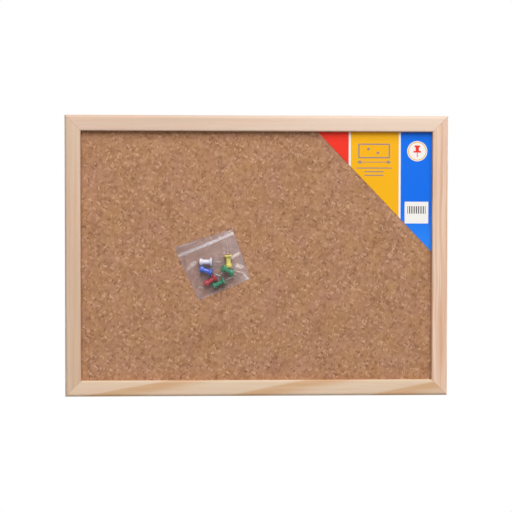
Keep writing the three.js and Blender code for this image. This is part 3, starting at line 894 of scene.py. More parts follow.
@dataclass(frozen=True)
class ZipFinish(Finish):
    """The sachet's moulded closing strips, with a painted highlight that whitens them towards one end."""

    place: SheetPlace
    solid: float = 0.09
    pull_solid: float = 0.16
    pulls: Pattern = Pattern(1.0, 3.0, draw=(0.12, 1.6, 1.0))
    # painted highlight: the strips turn more solid white towards their right end
    pressed: Fade = Fade(0.0, 28.0, 0.14)
    milky: Colour = srgb(226, 206, 198)
    white: Colour = srgb(248, 234, 228)

    def surface(self, graph: Graph) -> Value:
        """Milky plastic, drawn out along the strip.

        Args:
            graph: the material's graph.

        Returns:
            The shader.
        """
        along, up = self.place.local(graph)
        pull = self.pulls.at(graph, graph.join(along, up, 0.0))
        colour = graph.layers(self.milky, (pull, self.white))
        milk = graph.principled(colour, 0.2 + pull * 0.15, {"Specular IOR Level": 0.6})
        # the last share is the painted highlight at the strips' right end
        share = self.solid + pull * self.pull_solid + self.pressed.of(along)
        return graph.see_through(share, milk)


@dataclass(frozen=True)
class GlueFinish(Finish):
    """Soft clear glue."""

    solid: float = 0.03
    cloud_solid: float = 0.05
    clouds: Pattern = Pattern(0.4, 3.0)
    amber: Colour = srgb(226, 214, 186)
    pale: Colour = srgb(240, 232, 212)

    def surface(self, graph: Graph) -> Value:
        """Cloudy amber gel.

        Args:
            graph: the material's graph.

        Returns:
            The shader.
        """
        cloud = self.clouds.at(graph, graph.millimetres())
        colour = graph.layers(self.amber, (cloud, self.pale))
        gel = graph.principled(colour, 0.3 + cloud * 0.2, {})
        return graph.see_through(self.solid + cloud * self.cloud_solid, gel)


@dataclass(frozen=True)
class Block:
    """An upright rectangle in the card's print: its middle and half its sizes."""

    middle: Pair
    half: Pair

    def reach(self, spot: Spot) -> Value:
        """The distance to its edge, under 0 inside."""
        across = abs(spot[0] - self.middle[0]) - self.half[0]
        return across.most(abs(spot[1] - self.middle[1]) - self.half[1])


@dataclass(frozen=True)
class Disc:
    """A round dot in the card's print: its middle and its radius."""

    middle: Pair
    radius: float

    def reach(self, spot: Spot) -> Value:
        """Measures from the dot's edge.

        Args:
            spot: places on the card.

        Returns:
            The distance to the edge, under 0 inside.
        """
        across = spot[0] - self.middle[0]
        rise = spot[1] - self.middle[1]
        return (across * across + rise * rise) ** 0.5 - self.radius


@dataclass(frozen=True)
class CardFinish(Finish):
    """The corner card's print: three colour bands with plain signs on them.

    Places on the card are millimetres left of its right edge and millimetres below its top edge.
    """

    right: float
    top: float
    soft: float = 0.16
    blue_to: float = 32.4
    yellow_from: float = 34.5
    yellow_to: float = 85.0
    red_from: float = 87.2
    # painted sheen: the blue pales towards the card's foot
    foot: Fade = Fade(70.0, 124.0)
    sign_dot: Disc = Disc((15.0, 19.6), 10.6)
    sign_ring: Disc = Disc((15.0, 19.6), 9.3)
    ring_half: float = 0.45
    knob: Block = Block((15.0, 14.6), (2.9, 1.0))
    waist: Block = Block((15.0, 17.3), (1.7, 2.2))
    flange: Block = Block((15.0, 20.2), (3.9, 0.9))
    needle: Block = Block((15.0, 23.2), (0.45, 2.6))
    outline: Block = Block((60.5, 19.5), (16.0, 7.0))
    outline_half: float = 0.7
    pinned: tuple[Disc, ...] = (Disc((66.5, 17.5), 1.5), Disc((56.5, 21.5), 1.5))
    shaft: Block = Block((60.5, 31.2), (15.0, 0.4))
    arrow_tip: float = 18.0
    arrow_back: float = 13.6
    arrow_half: float = 1.6
    arrow_slope: float = 1.6
    rules: tuple[Block, ...] = (
        Block((60.5, 37.4), (18.5, 0.55)),
        Block((60.5, 41.2), (10.0, 0.55)),
        Block((60.5, 45.0), (10.0, 0.55)),
    )
    patch: Block = Block((15.6, 84.0), (12.5, 11.4))
    bar_row: Block = Block((15.6, 81.2), (9.6, 3.9))
    bar_pitch: float = 2.4
    cut_edge: Fade = Fade(-0.6, -0.4)
    mottles: Pattern = Pattern(0.7, 3.0)
    buckles: Pattern = Pattern(0.025, 2.0)
    white: Colour = srgb(243, 240, 236)
    blue: Colour = srgb(17, 111, 233)
    blue_painted_sheen: Colour = srgb(42, 134, 246)
    yellow: Colour = srgb(245, 179, 24)
    red: Colour = srgb(238, 54, 38)
    ink: Colour = srgb(156, 134, 130)
    black: Colour = srgb(70, 66, 72)

    def inside(self, *reaches: Value) -> Value:
        """1 inside one of the shapes that are this far away, and 0 outside, with a soft edge."""
        return reduce(Value.least, reaches).step(self.soft, -self.soft)

    def bands(self, spot: Spot) -> list[Cover]:
        """The yellow and red bands with white lines beside them, over a blue with a painted sheen that
        pales it towards its foot.

        Args:
            spot: places on the card.

        Returns:
            What is printed over the blue, in order.
        """
        left, down = spot
        starts = (
            (self.blue_to, self.white),
            (self.yellow_from, self.yellow),
            (self.yellow_to, self.white),
            (self.red_from, self.red),
        )
        bands = [(left.step(start - self.soft, start + self.soft), band) for start, band in starts]
        # painted sheen on the blue, paler towards the foot
        return [(self.foot.of(down), self.blue_painted_sheen), *bands]

    def pin_sign(self, spot: Spot) -> list[Cover]:
        """A white dot with a yellow ring and a plain push pin drawn on it.

        Args:
            spot: places on the card.

        Returns:
            What is printed, in order.
        """
        ring = abs(self.sign_ring.reach(spot)) - self.ring_half
        pin = [part.reach(spot) for part in (self.knob, self.waist, self.flange, self.needle)]
        return [
            (self.inside(self.sign_dot.reach(spot)), self.white),
            (self.inside(ring), self.yellow),
            (self.inside(*pin), self.red),
        ]

    def size_sign(self, spot: Spot) -> list[Cover]:
        """A board's outline with a width arrow and plain rules under it.

        Args:
            spot: places on the card.

        Returns:
            What is printed.
        """
        outline = abs(self.outline.reach(spot)) - self.outline_half
        plain = [part.reach(spot) for part in (*self.pinned, self.shaft, *self.rules)]
        away = abs(spot[0] - self.shaft.middle[0])
        over = abs(spot[1] - self.shaft.middle[1])
        slope = away + over * self.arrow_slope - self.arrow_tip
        heads = slope.most(self.arrow_back - away).most(over - self.arrow_half)
        return [(self.inside(outline, heads, *plain), self.ink)]

    def bar_patch(self, spot: Spot) -> list[Cover]:
        """A white patch with a row of even bars.

        Args:
            spot: places on the card.

        Returns:
            What is printed, in order.
        """
        from_middle = abs((spot[0] / self.bar_pitch).fraction() - 0.5) * self.bar_pitch
        bars = (from_middle - self.bar_pitch / 4).most(self.bar_row.reach(spot))
        return [(self.inside(self.patch.reach(spot)), self.white), (self.inside(bars), self.black)]

    def surface(self, graph: Graph) -> Value:
        """Gloss print on white card, with bare white edges.

        Args:
            graph: the material's graph.

        Returns:
            The shader.
        """
        x, _, z = graph.split(graph.place())
        spot = ((self.right - x) * PER_MM, (self.top - z) * PER_MM)
        normal = graph.node("ShaderNodeNewGeometry", {}, {}, "True Normal")
        _, facing, _ = graph.split(normal)
        signs = self.pin_sign(spot) + self.size_sign(spot) + self.bar_patch(spot)
        bare = (self.cut_edge.of(facing), self.white)
        colour = graph.layers(self.blue, *self.bands(spot), *signs, bare)
        place = graph.millimetres()
        mottle = self.mottles.at(graph, place)
        buckle = self.buckles.at(graph, place)
        normal = graph.bump(buckle * 0.9 + mottle * 0.04, depth=1.2 * MM, strength=0.5)
        rough = 0.3 + mottle * 0.12
        return graph.principled(colour, rough, {"Specular IOR Level": 0.18, "Normal": normal})


@dataclass(frozen=True)
class FloorFinish(Finish):
    """The white floor: it shows as white, but keeps shadows near the board."""

    near_white: float = 0.86
    far: Fade = Fade(0.9, 2.0)
    matt: Colour = (0.4, 0.4, 0.4, 1.0)

    def surface(self, graph: Graph) -> Value:
        """White seen by the camera, in mirrors and through clear things, mixed over matt grey.

        Args:
            graph: the material's graph.

        Returns:
            The shader.
        """
        x, y, _ = graph.split(graph.place())
        shown_white = self.far.of((x * x + y * y) ** 0.5).lifted(self.near_white)
        matt = graph.node("ShaderNodeBsdfDiffuse", {}, {"Color": self.matt})
        white = graph.node("ShaderNodeEmission", {}, {"Color": WHITE, "Strength": 1.0})
        return graph.mixed(graph.seen() * shown_white, matt, white)


def add_object(name: str, data: bpy.types.ID) -> bpy.types.Object:
    """Adds an object to the scene.

    Args:
        name: its name.
        data: its mesh, camera or lamp.

    Returns:
        The new object.
    """
    made = bpy.data.objects.new(name, data)
    bpy.context.scene.collection.objects.link(made)
    return made


def new_piece(name: str, mesh: bmesh.types.BMesh) -> bpy.types.Object:
    """Turns a finished bmesh into an object in the scene.

    Args:
        name: the piece's name.
        mesh: its shape in metres, which is freed here.

    Returns:
        The new object.
    """
    data = bpy.data.meshes.new(name)
    mesh.to_mesh(data)
    mesh.free()
    return add_object(name, data)


def dress(piece: bpy.types.Object, finish: Finish) -> None:
    """Gives a CAD node's object or a new piece one finish all over."""
    piece.data.materials.clear()
    piece.data.materials.append(finish.material())


def keep_shape(node: str, finish: Finish) -> bpy.types.Object:
    """Dresses a CAD node that keeps its shape.

    Args:
        node: the CAD node.
        finish: what it is made of.

    Returns:
        The node's object.
    """
    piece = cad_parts[node]
    dress(piece, finish)
    LOG.info("%s keeps its CAD shape", node)
    return piece


def settle(piece: bpy.types.Object, body: str, node: str, finish: Finish) -> None:
    """Puts a new piece in its CAD node's place.

    Args:
        piece: the new piece.
        body: the CAD body that it rides on.
        node: the CAD node that it stands for.
        finish: what it is made of.
    """
    dress(piece, finish)
    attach(piece, body)
    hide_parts(node)
    LOG.info("%s stands for %s on %s", piece.name, node, body)


def node_points(node: str) -> np.ndarray:
    """The different corners of a CAD node, in metres."""
    points = np.array([corner.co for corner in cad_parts[node].data.vertices])
    return np.unique(points.round(POINT_DIGITS), axis=0)


def eased_copy(node: str, name: str, ease: float, sharp: float = 35.0) -> bpy.types.Object:
    """A copy of a CAD node with joined faces, eased edges and smooth curves.

    Args:
        node: the CAD node.
        name: the copy's name.
        ease: how far the sharp edges are rounded, in metres.
        sharp: edges over this angle stay edges, in degrees.

    Returns:
        The new object.
    """
    mesh = bmesh.new()
    mesh.from_mesh(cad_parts[node].data)
    bmesh.ops.remove_doubles(mesh, verts=mesh.verts, dist=SAME_POINT)
    bmesh.ops.dissolve_limit(mesh, angle_limit=SAME_PLANE, verts=mesh.verts, edges=mesh.edges)
    limit = math.radians(sharp)
    for face in mesh.faces:
        face.smooth = True
    for edge in mesh.edges:
        edge.smooth = edge.calc_face_angle(0.0) < limit
    made = new_piece(name, mesh)
    if "custom_normal" in made.data.attributes:
        made.data.attributes.remove(made.data.attributes["custom_normal"])
    bevel = made.modifiers.new("eased edges", "BEVEL")
    bevel.width = ease
    bevel.segments = 2
    bevel.limit_method = "ANGLE"
    bevel.angle_limit = limit
    bevel.use_clamp_overlap = False
    bevel.harden_normals = True
    return made


def circle(steps: int) -> list[Pair]:
    """The cosine and sine of evenly spread angles."""
    angles = [2 * math.pi * step / steps for step in range(steps)]
    return [(math.cos(angle), math.sin(angle)) for angle in angles]


def bridge(mesh: bmesh.types.BMesh, first: list, second: list) -> None:
    """Joins two rings of points by smooth faces.

    Args:
        mesh: the mesh that they belong to.
        first: one ring, or a single point that the faces meet in.
        second: the other.
    """
    count = max(len(first), len(second))
    for step in range(count):
        after = (step + 1) % count
        corners = [first[step % len(first)], first[after % len(first)]]
        corners += [second[after % len(second)], second[step % len(second)]]
        mesh.faces.new(list(dict.fromkeys(corners))).smooth = True


def lathe(profile: Sequence[Pair], steps: int) -> bmesh.types.BMesh:
    """A closed round solid.

    Args:
        profile: radius and height pairs from the axis at one end to the axis at the other.
        steps: how many sides the turned shape has.

    Returns:
        The solid, turned about Z.
    """
    mesh = bmesh.new()
    rings = []
    for radius, height in profile:
        around = circle(steps) if radius else [(0.0, 0.0)]
        rings.append([mesh.verts.new((radius * x, radius * y, height)) for x, y in around])
    for lower, upper in zip(rings, rings[1:]):
        bridge(mesh, lower, upper)
    bmesh.ops.recalc_face_normals(mesh, faces=mesh.faces)
    return mesh


def arc(start: Pair, turn: Pair, end: Pair, steps: int) -> list[Pair]:
    """Points on a curve that leaves start towards turn and arrives at end from it.

    Args:
        start: the first point, which is left out.
        turn: the corner that the curve rounds.
        end: the last point.
        steps: how many points there are; one gives a straight run.

    Returns:
        The points after start.
    """
    made = []
    for step in range(1, steps + 1):
        share = step / steps
        rest = 1 - share
        weights = (rest * rest, 2 * rest * share, share * share)
        parts = [sum(w * p for w, p in zip(weights, points)) for points in zip(start, turn, end)]
        made.append((parts[0], parts[1]))
    return made


@dataclass
class PineFrame:
    """The four mitred rails and the nails that join them."""

    arris: float = 0.1 * MM
    # Each rail has its own plank tone; the right and bottom rails' paler tones are partly painted light,
    # for the stronger light that falls on them.
    rails: dict[str, PineFinish] = field(
        default_factory=lambda: {
            "rail_top": PineFinish(
                "pine_top", Grain.ACROSS, srgb(214, 188, 168), shift=310.0, drift=0.012, ring=14.0,
                phase=0.3, show=0.2, sway=5.0, streaks=0.25, painted_highlight=0.7,
            ),
            "rail_bottom": PineFinish(
                "pine_bottom", Grain.ACROSS, srgb(224, 200, 171), shift=900.0, drift=-0.19, ring=28.0,
                phase=1.4, show=0.85, sway=7.0, streaks=0.2,
            ),
            "rail_left": PineFinish(
                "pine_left", Grain.UPRIGHT, srgb(207, 179, 153), shift=140.0, drift=-0.01, ring=6.0,
                phase=0.0, show=0.3, sway=6.0, streaks=0.3, painted_highlight=0.5,
            ),
            "rail_right": PineFinish(
                "pine_right", Grain.UPRIGHT, srgb(233, 198, 174), shift=620.0, drift=0.006, ring=9.0,
                phase=0.0, show=0.6, sway=9.0, streaks=1.0, painted_highlight=0.5,
            ),
        }
    )
    nail_steel: MetalFinish = MetalFinish("nail_steel", srgb(182, 186, 190), 0.28)

    def build(self) -> None:
        """Makes the rails with eased arrises and dresses the nails."""
        for node, finish in self.rails.items():
            settle(eased_copy(node, f"{node}_planed", self.arris), "board", node, finish)
        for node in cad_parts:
            if node.startswith("v_nail_"):
                keep_shape(node, self.nail_steel)


@dataclass
class BoardPanel:
    """The cork, the soft core behind it and the hardboard back."""

    core: SoftboardFinish = SoftboardFinish("softboard_fibre")
    back: HardboardFinish = HardboardFinish("hardboard_screen_side")

    def build(self) -> None:
        """Dresses the three sheets, which keep their CAD shapes."""
        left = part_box("rail_left")[1].x * PER_MM
        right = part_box("rail_right")[0].x * PER_MM
        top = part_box("rail_top")[0].z * PER_MM
        keep_shape("cork_sheet", CorkFinish("cork_granules", left, right, top))
        keep_shape("softboard_core", self.core)
        keep_shape("hardboard_back", self.back)


@dataclass
class Hangers:
    """The two D-rings on the back with their straps and rivets."""

    strap_ease: float = 0.12 * MM
    strap_sharp: float = 28.0
    rivet_ease: float = 0.25 * MM
    rivet_sharp: float = 40.0
    wire: float = 1.6 * MM
    wire_sides: int = 20
    corner: float = 2.2 * MM
    turn_steps: int = 16
    zinc: MetalFinish = MetalFinish("hanger_zinc", srgb(172, 176, 182), 0.24, 0.6)

    def ring_path(self, node: str) -> list[Vector]:
        """The middle of a ring's wire: a bar with rounded ends, two straight sides and a round bow.

        Args:
            node: the ring's CAD node.

        Returns:
            Points round the ring, from the bar's right end.
        """
        low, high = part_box(node)
        middle = (low + high) / 2
        half = (high.x - low.x - self.wire) / 2
        reach = half - self.corner
        shoulder = high.z - self.wire / 2 - self.corner
        bow = low.z + self.wire / 2 + half
        turns = (
            (reach, shoulder, self.corner, 90.0, 0.0),
            (0.0, bow, half, 0.0, -180.0),
            (-reach, shoulder, self.corner, 180.0, 90.0),
        )
        points = []
        for x, z, radius, first, last in turns:
            for step in range(self.turn_steps + 1):
                angle = math.radians(first + (last - first) * step / self.turn_steps)
                around = Vector((x + radius * math.cos(angle), 0.0, radius * math.sin(angle)))
                points.append(Vector((middle.x, middle.y, z)) + around)
        return points

    def wire_ring(self, node: str, name: str) -> bpy.types.Object:
        """A ring of round wire in the place of its CAD node.

        Args:
            node: the ring's CAD node.
            name: the new piece's name.

        Returns:
            The new object.
        """
        mesh = bmesh.new()
        path = self.ring_path(node)
        through = Vector((0.0, 1.0, 0.0))
        loops = []
        for index, here in enumerate(path):
            way = (path[(index + 1) % len(path)] - path[index - 1]).normalized()
            side = way.cross(through)
            arms = [(side * x + through * y) * self.wire / 2 for x, y in circle(self.wire_sides)]
            loops.append([mesh.verts.new(here + arm) for arm in arms])
        for first, second in zip(loops, loops[1:] + loops[:1]):
            bridge(mesh, first, second)
        bmesh.ops.recalc_face_normals(mesh, faces=mesh.faces)
        return new_piece(name, mesh)

    def build(self) -> None:
        """Makes the straps, rivets and round wire rings."""
        for side in ("left", "right"):
            node = f"hanger_strap_{side}"
            strap = eased_copy(node, f"strap_folded_{side}", self.strap_ease, self.strap_sharp)
            settle(strap, "board", node, self.zinc)
            node = f"hanger_rivet_{side}"
            rivet = eased_copy(node, f"rivet_set_{side}", self.rivet_ease, self.rivet_sharp)
            settle(rivet, "board", node, self.zinc)
            node = f"hanger_ring_{side}"
            ring = self.wire_ring(node, f"wire_ring_{side}")
            settle(ring, f"ring_{side}", node, self.zinc)


@dataclass
class CornerCard:
    """The printed card in the cork's top right corner."""

    node: str = "corner_label"

    def build(self) -> None:
        """Prints the card, which keeps its CAD shape."""
        _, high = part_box(self.node)
        keep_shape(self.node, CardFinish("card_print", high.x, high.z))


@dataclass
class PushPins:
    """The moulded heads and steel needles of the pins in the sachet."""

    length: float = 12.8 * MM
    flange: float = 4.4 * MM
    flange_height: float = 1.6 * MM
    waist: float = 2.5 * MM
    knob: float = 3.6 * MM
    knob_height: float = 3.0 * MM
    ease: float = 0.5 * MM
    small_ease: float = 0.3 * MM
    knob_ease: float = 0.25 * MM
    dish: float = 0.25 * MM
    dish_dip: float = 0.05 * MM
    dish_rim: float = 0.62
    dish_turn: float = 0.5
    dish_floor: float = 0.36
    needle: float = 0.55 * MM
    needle_length: float = 10.5 * MM
    needle_root: float = 4.0 * MM
    point: float = 2.6 * MM
    point_shares: tuple[float, ...] = (0.15, 0.4, 0.7, 1.0)
    point_curve: float = 0.8
    sides: int = 40
    steel: MetalFinish = MetalFinish("needle_steel", srgb(178, 172, 170), 0.24, 0.4)
    plastics: dict[str, PinPlasticFinish] = field(
        default_factory=lambda: {
            "white": PinPlasticFinish("pin_white", srgb(228, 224, 234), srgb(212, 209, 224)),
            "blue": PinPlasticFinish("pin_blue", srgb(34, 96, 214), srgb(22, 66, 180)),
            "red": PinPlasticFinish("pin_red", srgb(190, 16, 34), srgb(150, 10, 26)),
            "green_low": PinPlasticFinish("pin_green_low", srgb(8, 136, 88), srgb(4, 100, 64)),
            "yellow": PinPlasticFinish("pin_yellow", srgb(236, 222, 84), srgb(214, 196, 48)),
            "green_right": PinPlasticFinish("pin_green_right", srgb(14, 148, 98), srgb(6, 108, 70)),
        }
    )

    def head_profile(self) -> list[Pair]:
        """The head's outline, from the flange's face to the knob's dished top.

        The dish's rim, turn and floor are shares of the knob's radius.

        Returns:
            Pairs of radius and height.
        """
        top = self.length
        shoulder = top - self.knob_height
        lip = self.flange_height
        flange = self.flange
        waist = self.waist
        knob = self.knob
        ease = self.ease
        small = self.small_ease
        hollow = top - self.dish
        outline = [(0.0, 0.0), (flange - ease, 0.0)]
        runs = (
            ((flange, 0.0), (flange, ease), 5),
            ((flange, ease), (flange, lip - small), 1),
            ((flange, lip), (flange - small, lip), 4),
            ((waist, lip), (waist, 2 * lip), 7),
            ((waist, 2 * lip), (waist, shoulder - self.knob_height / 2), 1),
            ((waist, shoulder), (knob - self.knob_ease, shoulder), 7),
            ((knob, shoulder), (knob, shoulder + small), 4),
            ((knob, shoulder + small), (knob, top - ease), 1),
            ((knob, top), (knob - ease, top), 5),
            ((knob - ease, top), (knob * self.dish_rim, top - self.dish_dip), 1),
            ((knob * self.dish_turn, hollow), (knob * self.dish_floor, hollow), 4),
            ((0.0, hollow), (0.0, hollow), 1),
        )
        for turn, end, steps in runs:
            outline += arc(outline[-1], turn, end, steps)
        return outline

    def needle_profile(self) -> list[Pair]:
        """The needle's outline, from its point to its root in the head.

        Returns:
            Pairs of radius and height.
        """
        start = -self.needle_length
        outline = [(0.0, start)]
        for share in self.point_shares:
            outline.append((self.needle * share ** self.point_curve, start + self.point * share))
        outline += [(self.needle, self.needle_root), (0.0, self.needle_root)]
        return outline

    def axis(self, colour: str) -> tuple[Vector, Vector]:
        """Where a pin lies.

        Args:
            colour: the pin's name.

        Returns:
            The middle of its flange's face, and the direction from there to its knob.
        """
        head = node_points(f"pin_head_{colour}")
        middle = head.mean(0)
        way = middle - node_points(f"pin_needle_{colour}").mean(0)
        way = way / np.linalg.norm(way)
        face = middle + way * ((head - middle) @ way).min()
        return Vector(face), Vector(way)

    def build(self) -> None:
        """Makes each pin where its CAD pin lies."""
        for colour, plastic in self.plastics.items():
            face, way = self.axis(colour)
            turn = Vector((0.0, 0.0, 1.0)).rotation_difference(way)
            parts = {
                "head": (self.head_profile(), plastic, f"pin_{colour.split('_')[0]}"),
                "needle": (self.needle_profile(), self.steel, "needle_steel"),
            }
            for part, (profile, finish, slot) in parts.items():
                mesh = lathe(profile, self.sides)
                bmesh.ops.transform(mesh, matrix=turn.to_matrix().to_4x4(), verts=mesh.verts)
                bmesh.ops.translate(mesh, vec=face, verts=mesh.verts)
                piece = new_piece(f"turned_{part}_{colour}", mesh)
                settle(piece, "sachet", f"pin_{part}_{colour}", finish)


@dataclass
class PinSachet:
    """The grip-seal sachet: two clear films and the zip between them.

    Its places are metres along it and up it from its middle, and heights are over the back film.
    """

    turn: float = math.radians(22.5)
    width: float = 63.0 * MM
    foot: float = 58.5 * MM
    height: float = 58.5 * MM
    weld: float = 2.2 * MM
    header: float = 7.5 * MM
    slant: float = 6.0 * MM
    lip_rise: float = 1.8 * MM
    curl: float = 3.2 * MM
    curl_reach: float = 8.0 * MM
    film: float = 0.06 * MM
    stiff_edge: float = 1.2 * MM
    clearance: float = 0.22 * MM
    crumple: float = 0.35 * MM
    crumples_along: float = 160.0
    crumples_up: float = 230.0
    crumple_slice: float = 4.0
    finer: float = 2.3
    finer_share: float = 0.4
    cells: int = 104
    rounds: int = 2600
    above: float = 40.0 * MM
    front_haze: float = 0.036
    back_haze: float = 0.105
    # each fold's fifth number, where given, is the strength of its painted glint
    folds: tuple[Fold, ...] = (
        Fold((-26.5, 5.5), (-18.5, 9.0), 0.9, 2.3, 0.27),
        Fold((20.0, -1.0), (28.0, 0.2), 1.1, 1.7, 0.34),
        Fold((21.5, -11.0), (25.0, -13.5), 1.0, 2.3, 0.3),
        Fold((18.0, -15.3), (24.0, -20.0), 1.0, 0.9, 0.22),
        Fold((24.0, -20.0), (27.0, -28.0), 1.1, 1.0, 0.25),
        Fold((-24.0, -17.0), (-20.0, -18.5), 0.9, 1.2, 0.2),
        Fold((14.0, -21.5), (25.0, -26.5), 0.7, 1.8, 0.12),
        Fold((-26.0, -8.0), (-17.0, -4.0), 0.7, 0.9),
        Fold((4.0, 3.0), (5.5, 13.0), 0.7, 1.2, 0.05),
        Fold((-10.0, 14.0), (-14.0, 19.5), 0.6, 0.8),
        Fold((-24.0, 30.0), (-8.0, 28.5), 0.2, 0.9, 0.08),
    )

    def __post_init__(self) -> None:
        """Finds the sachet's middle over its glue dot and its level from its CAD back film."""
        low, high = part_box("sachet_glue_dot")
        middle = (low + high) / 2
        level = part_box("sachet_film_back")[0].y
        self.middle = Vector((middle.x, level, middle.z))
        self.along = Vector((math.cos(self.turn), 0.0, math.sin(self.turn)))
        self.up = Vector((-math.sin(self.turn), 0.0, math.cos(self.turn)))
        self.out = Vector((0.0, -1.0, 0.0))
        self.place = SheetPlace(self.middle, self.turn, self.width / 2, self.height / 2)
        self.zip_line = self.height / 2 - self.header

    def spot(self, along: float, up: float, out: float) -> Vector:
        """A point of the sachet in the board's frame, out from the back film's front face."""
        return self.middle + self.along * along + self.up * up + self.out * out

    def half_width(self, rise: np.ndarray) -> np.ndarray:
        """Half the sachet's width, which narrows from the zip to the foot."""
        share = ((rise + self.height / 2) / (self.zip_line + self.height / 2)).clip(0, 1)
        return (self.foot + (self.width - self.foot) * share) / 2

    def open_edge(self, across: np.ndarray) -> np.ndarray:
        """How high the open edge is, which slants down to the right."""
        return self.height / 2 - self.slant * across / self.width

    def grid(self, count: int) -> tuple[np.ndarray, np.ndarray]:
        """Evenly spread places over the whole sachet.

        Args:
            count: how many there are each way.

        Returns:
            The places along the sachet and the places up it.
        """
        steps = np.linspace(0, 1, count)
        sideways, share = np.meshgrid(np.linspace(-0.5, 0.5, count), steps, indexing="ij")
        top = self.open_edge(self.width * sideways)
        rise = share * top - (1 - share) * self.height / 2
        return 2 * self.half_width(rise) * sideways, rise

    def filling(self, across: np.ndarray, rise: np.ndarray) -> np.ndarray:
        """How high the pins and the zip reach under each place.

        Args:
            across: places along the sachet.
            rise: places up it.

        Returns:
            Heights over the back film, with 0 where nothing lies.
        """
        corners = []
        faces = []
        inside = [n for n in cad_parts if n.startswith(("pin_", "sachet_zip"))]
        for node in inside:
            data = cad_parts[node].data
            first = len(corners)
            corners += [corner.co.copy() for corner in data.vertices]
            faces += [[first + index for index in face.vertices] for face in data.polygons]
        tree = BVHTree.FromPolygons(corners, faces)
        heights = np.zeros(across.shape)
        for index in np.ndindex(across.shape):
            start = self.spot(across[index], rise[index], self.above)
            place, _, _, distance = tree.ray_cast(start, -self.out)
            if place is not None:
                heights[index] = self.above - distance + self.clearance
        return heights

    def lip(self, across: np.ndarray, rise: np.ndarray) -> np.ndarray:
        """How far the open header stands off past the zip.

        Args:
            across: places along the sachet.
            rise: places up it.

        Returns:
            The header's heights.
        """
        past = ((rise - self.zip_line) / (self.open_edge(across) - self.zip_line)).clip(0, 1)
        crown = (1 - (2 * across / self.width) ** 2).clip(0, 1)
        return self.lip_rise * past * past * crown

    def curled(self, across: np.ndarray, rise: np.ndarray) -> np.ndarray:
        """How far the header's free corner has curled up off the cork.

        Args:
            across: places along the sachet.
            rise: places up it.

        Returns:
            The curl's heights.
        """
        corner = -self.width / 2
        away = np.hypot(across - corner, rise - self.open_edge(corner))
        return self.curl * np.exp(-((away / self.curl_reach) ** 2))

    def drape(self, under: np.ndarray, held: np.ndarray, rest: np.ndarray) -> np.ndarray:
        """Pulls a film tight over what is under it.

        Args:
            under: the lowest that the film can lie.
            held: where its edge is welded or stiff.
            rest: its height where it is held.

        Returns:
            The film's heights.
        """
        height = np.where(held, rest, under)
        for _ in range(self.rounds):
            near = np.pad(height, 1, mode="edge")
            mean = (near[:-2, 1:-1] + near[2:, 1:-1] + near[1:-1, :-2] + near[1:-1, 2:]) / 4
            height = np.where(held, rest, np.maximum(mean, under))
        return height

    def creases(self, across: np.ndarray, rise: np.ndarray) -> np.ndarray:
        """Raised folds that run from the pins to the welds.

        Args:
            across: places along the sachet.
            rise: places up it.

        Returns:
            The folds' heights.
        """
        total = np.zeros(across.shape)
        for fold in self.folds:
            total += fold.ridge(across * PER_MM, rise * PER_MM)
        return total * MM

    def crumples(self, across: np.ndarray, rise: np.ndarray) -> np.ndarray:
        """Fine uneven bulges of thin film.

        Args:
            across: places along the sachet.
            rise: places up it.

        Returns:
            The bulges' heights.
        """
        total = np.zeros(across.shape)
        for index in np.ndindex(across.shape):
            along = across[index] * self.crumples_along
            place = Vector((along, rise[index] * self.crumples_up, self.crumple_slice))
            fine = abs(noise.noise(place * self.finer))
            total[index] = abs(noise.noise(place)) + self.finer_share * fine
        return total * self.crumple

    def sheet(
        self, name: str, across: np.ndarray, rise: np.ndarray, height: np.ndarray
    ) -> bpy.types.Object:
        """A thin film through a grid of heights.

        Args:
            name: the piece's name.
            across: the grid's places along the sachet.
            rise: its places up the sachet.
            height: its heights over the back film.

        Returns:
            The new object, with the film's thickness.
        """
        mesh = bmesh.new()
        rows, columns = across.shape
        corners = [
            [mesh.verts.new(self.spot(across[i, j], rise[i, j], height[i, j])) for j in range(columns)]
            for i in range(rows)
        ]
        for i in range(rows - 1):
            for j in range(columns - 1):
                square = (corners[i][j], corners[i + 1][j], corners[i + 1][j + 1], corners[i][j + 1])
                mesh.faces.new(square).smooth = True
        made = new_piece(name, mesh)
        thick = made.modifiers.new("film thickness", "SOLIDIFY")
        thick.thickness = self.film
        thick.offset = 1.0
        return made

    def front(self) -> bpy.types.Object:
        """Makes the front film, pulled over the pins and the zip, with its open lip.

        Returns:
            The new object.
        """
        across, rise = self.grid(self.cells)
        side = self.half_width(rise) - abs(across)
        seam = np.minimum(side, rise + self.height / 2)
        lip = self.lip(across, rise)
        under = self.filling(across, rise)
        held = (seam < self.weld) | (rise > self.open_edge(across) - self.stiff_edge)
        rest = self.clearance + np.where(seam < self.weld, 0.0, lip)
        height = self.drape(np.maximum(under, self.clearance + lip), held, rest)
        free = (seam / self.weld - 1).clip(0, 1)
        height += (self.creases(across, rise) + self.crumples(across, rise)) * free
        return self.sheet("film_front", across, rise, height + self.curled(across, rise))

    def back(self) -> bpy.types.Object:
        """Makes the back film, flat on the glue dot, with the header's curl.

        Returns:
            The new object.
        """
        across, rise = self.grid(self.cells // 2)
        height = self.curled(across, rise) - self.film
        return self.sheet("film_back", across, rise, height)

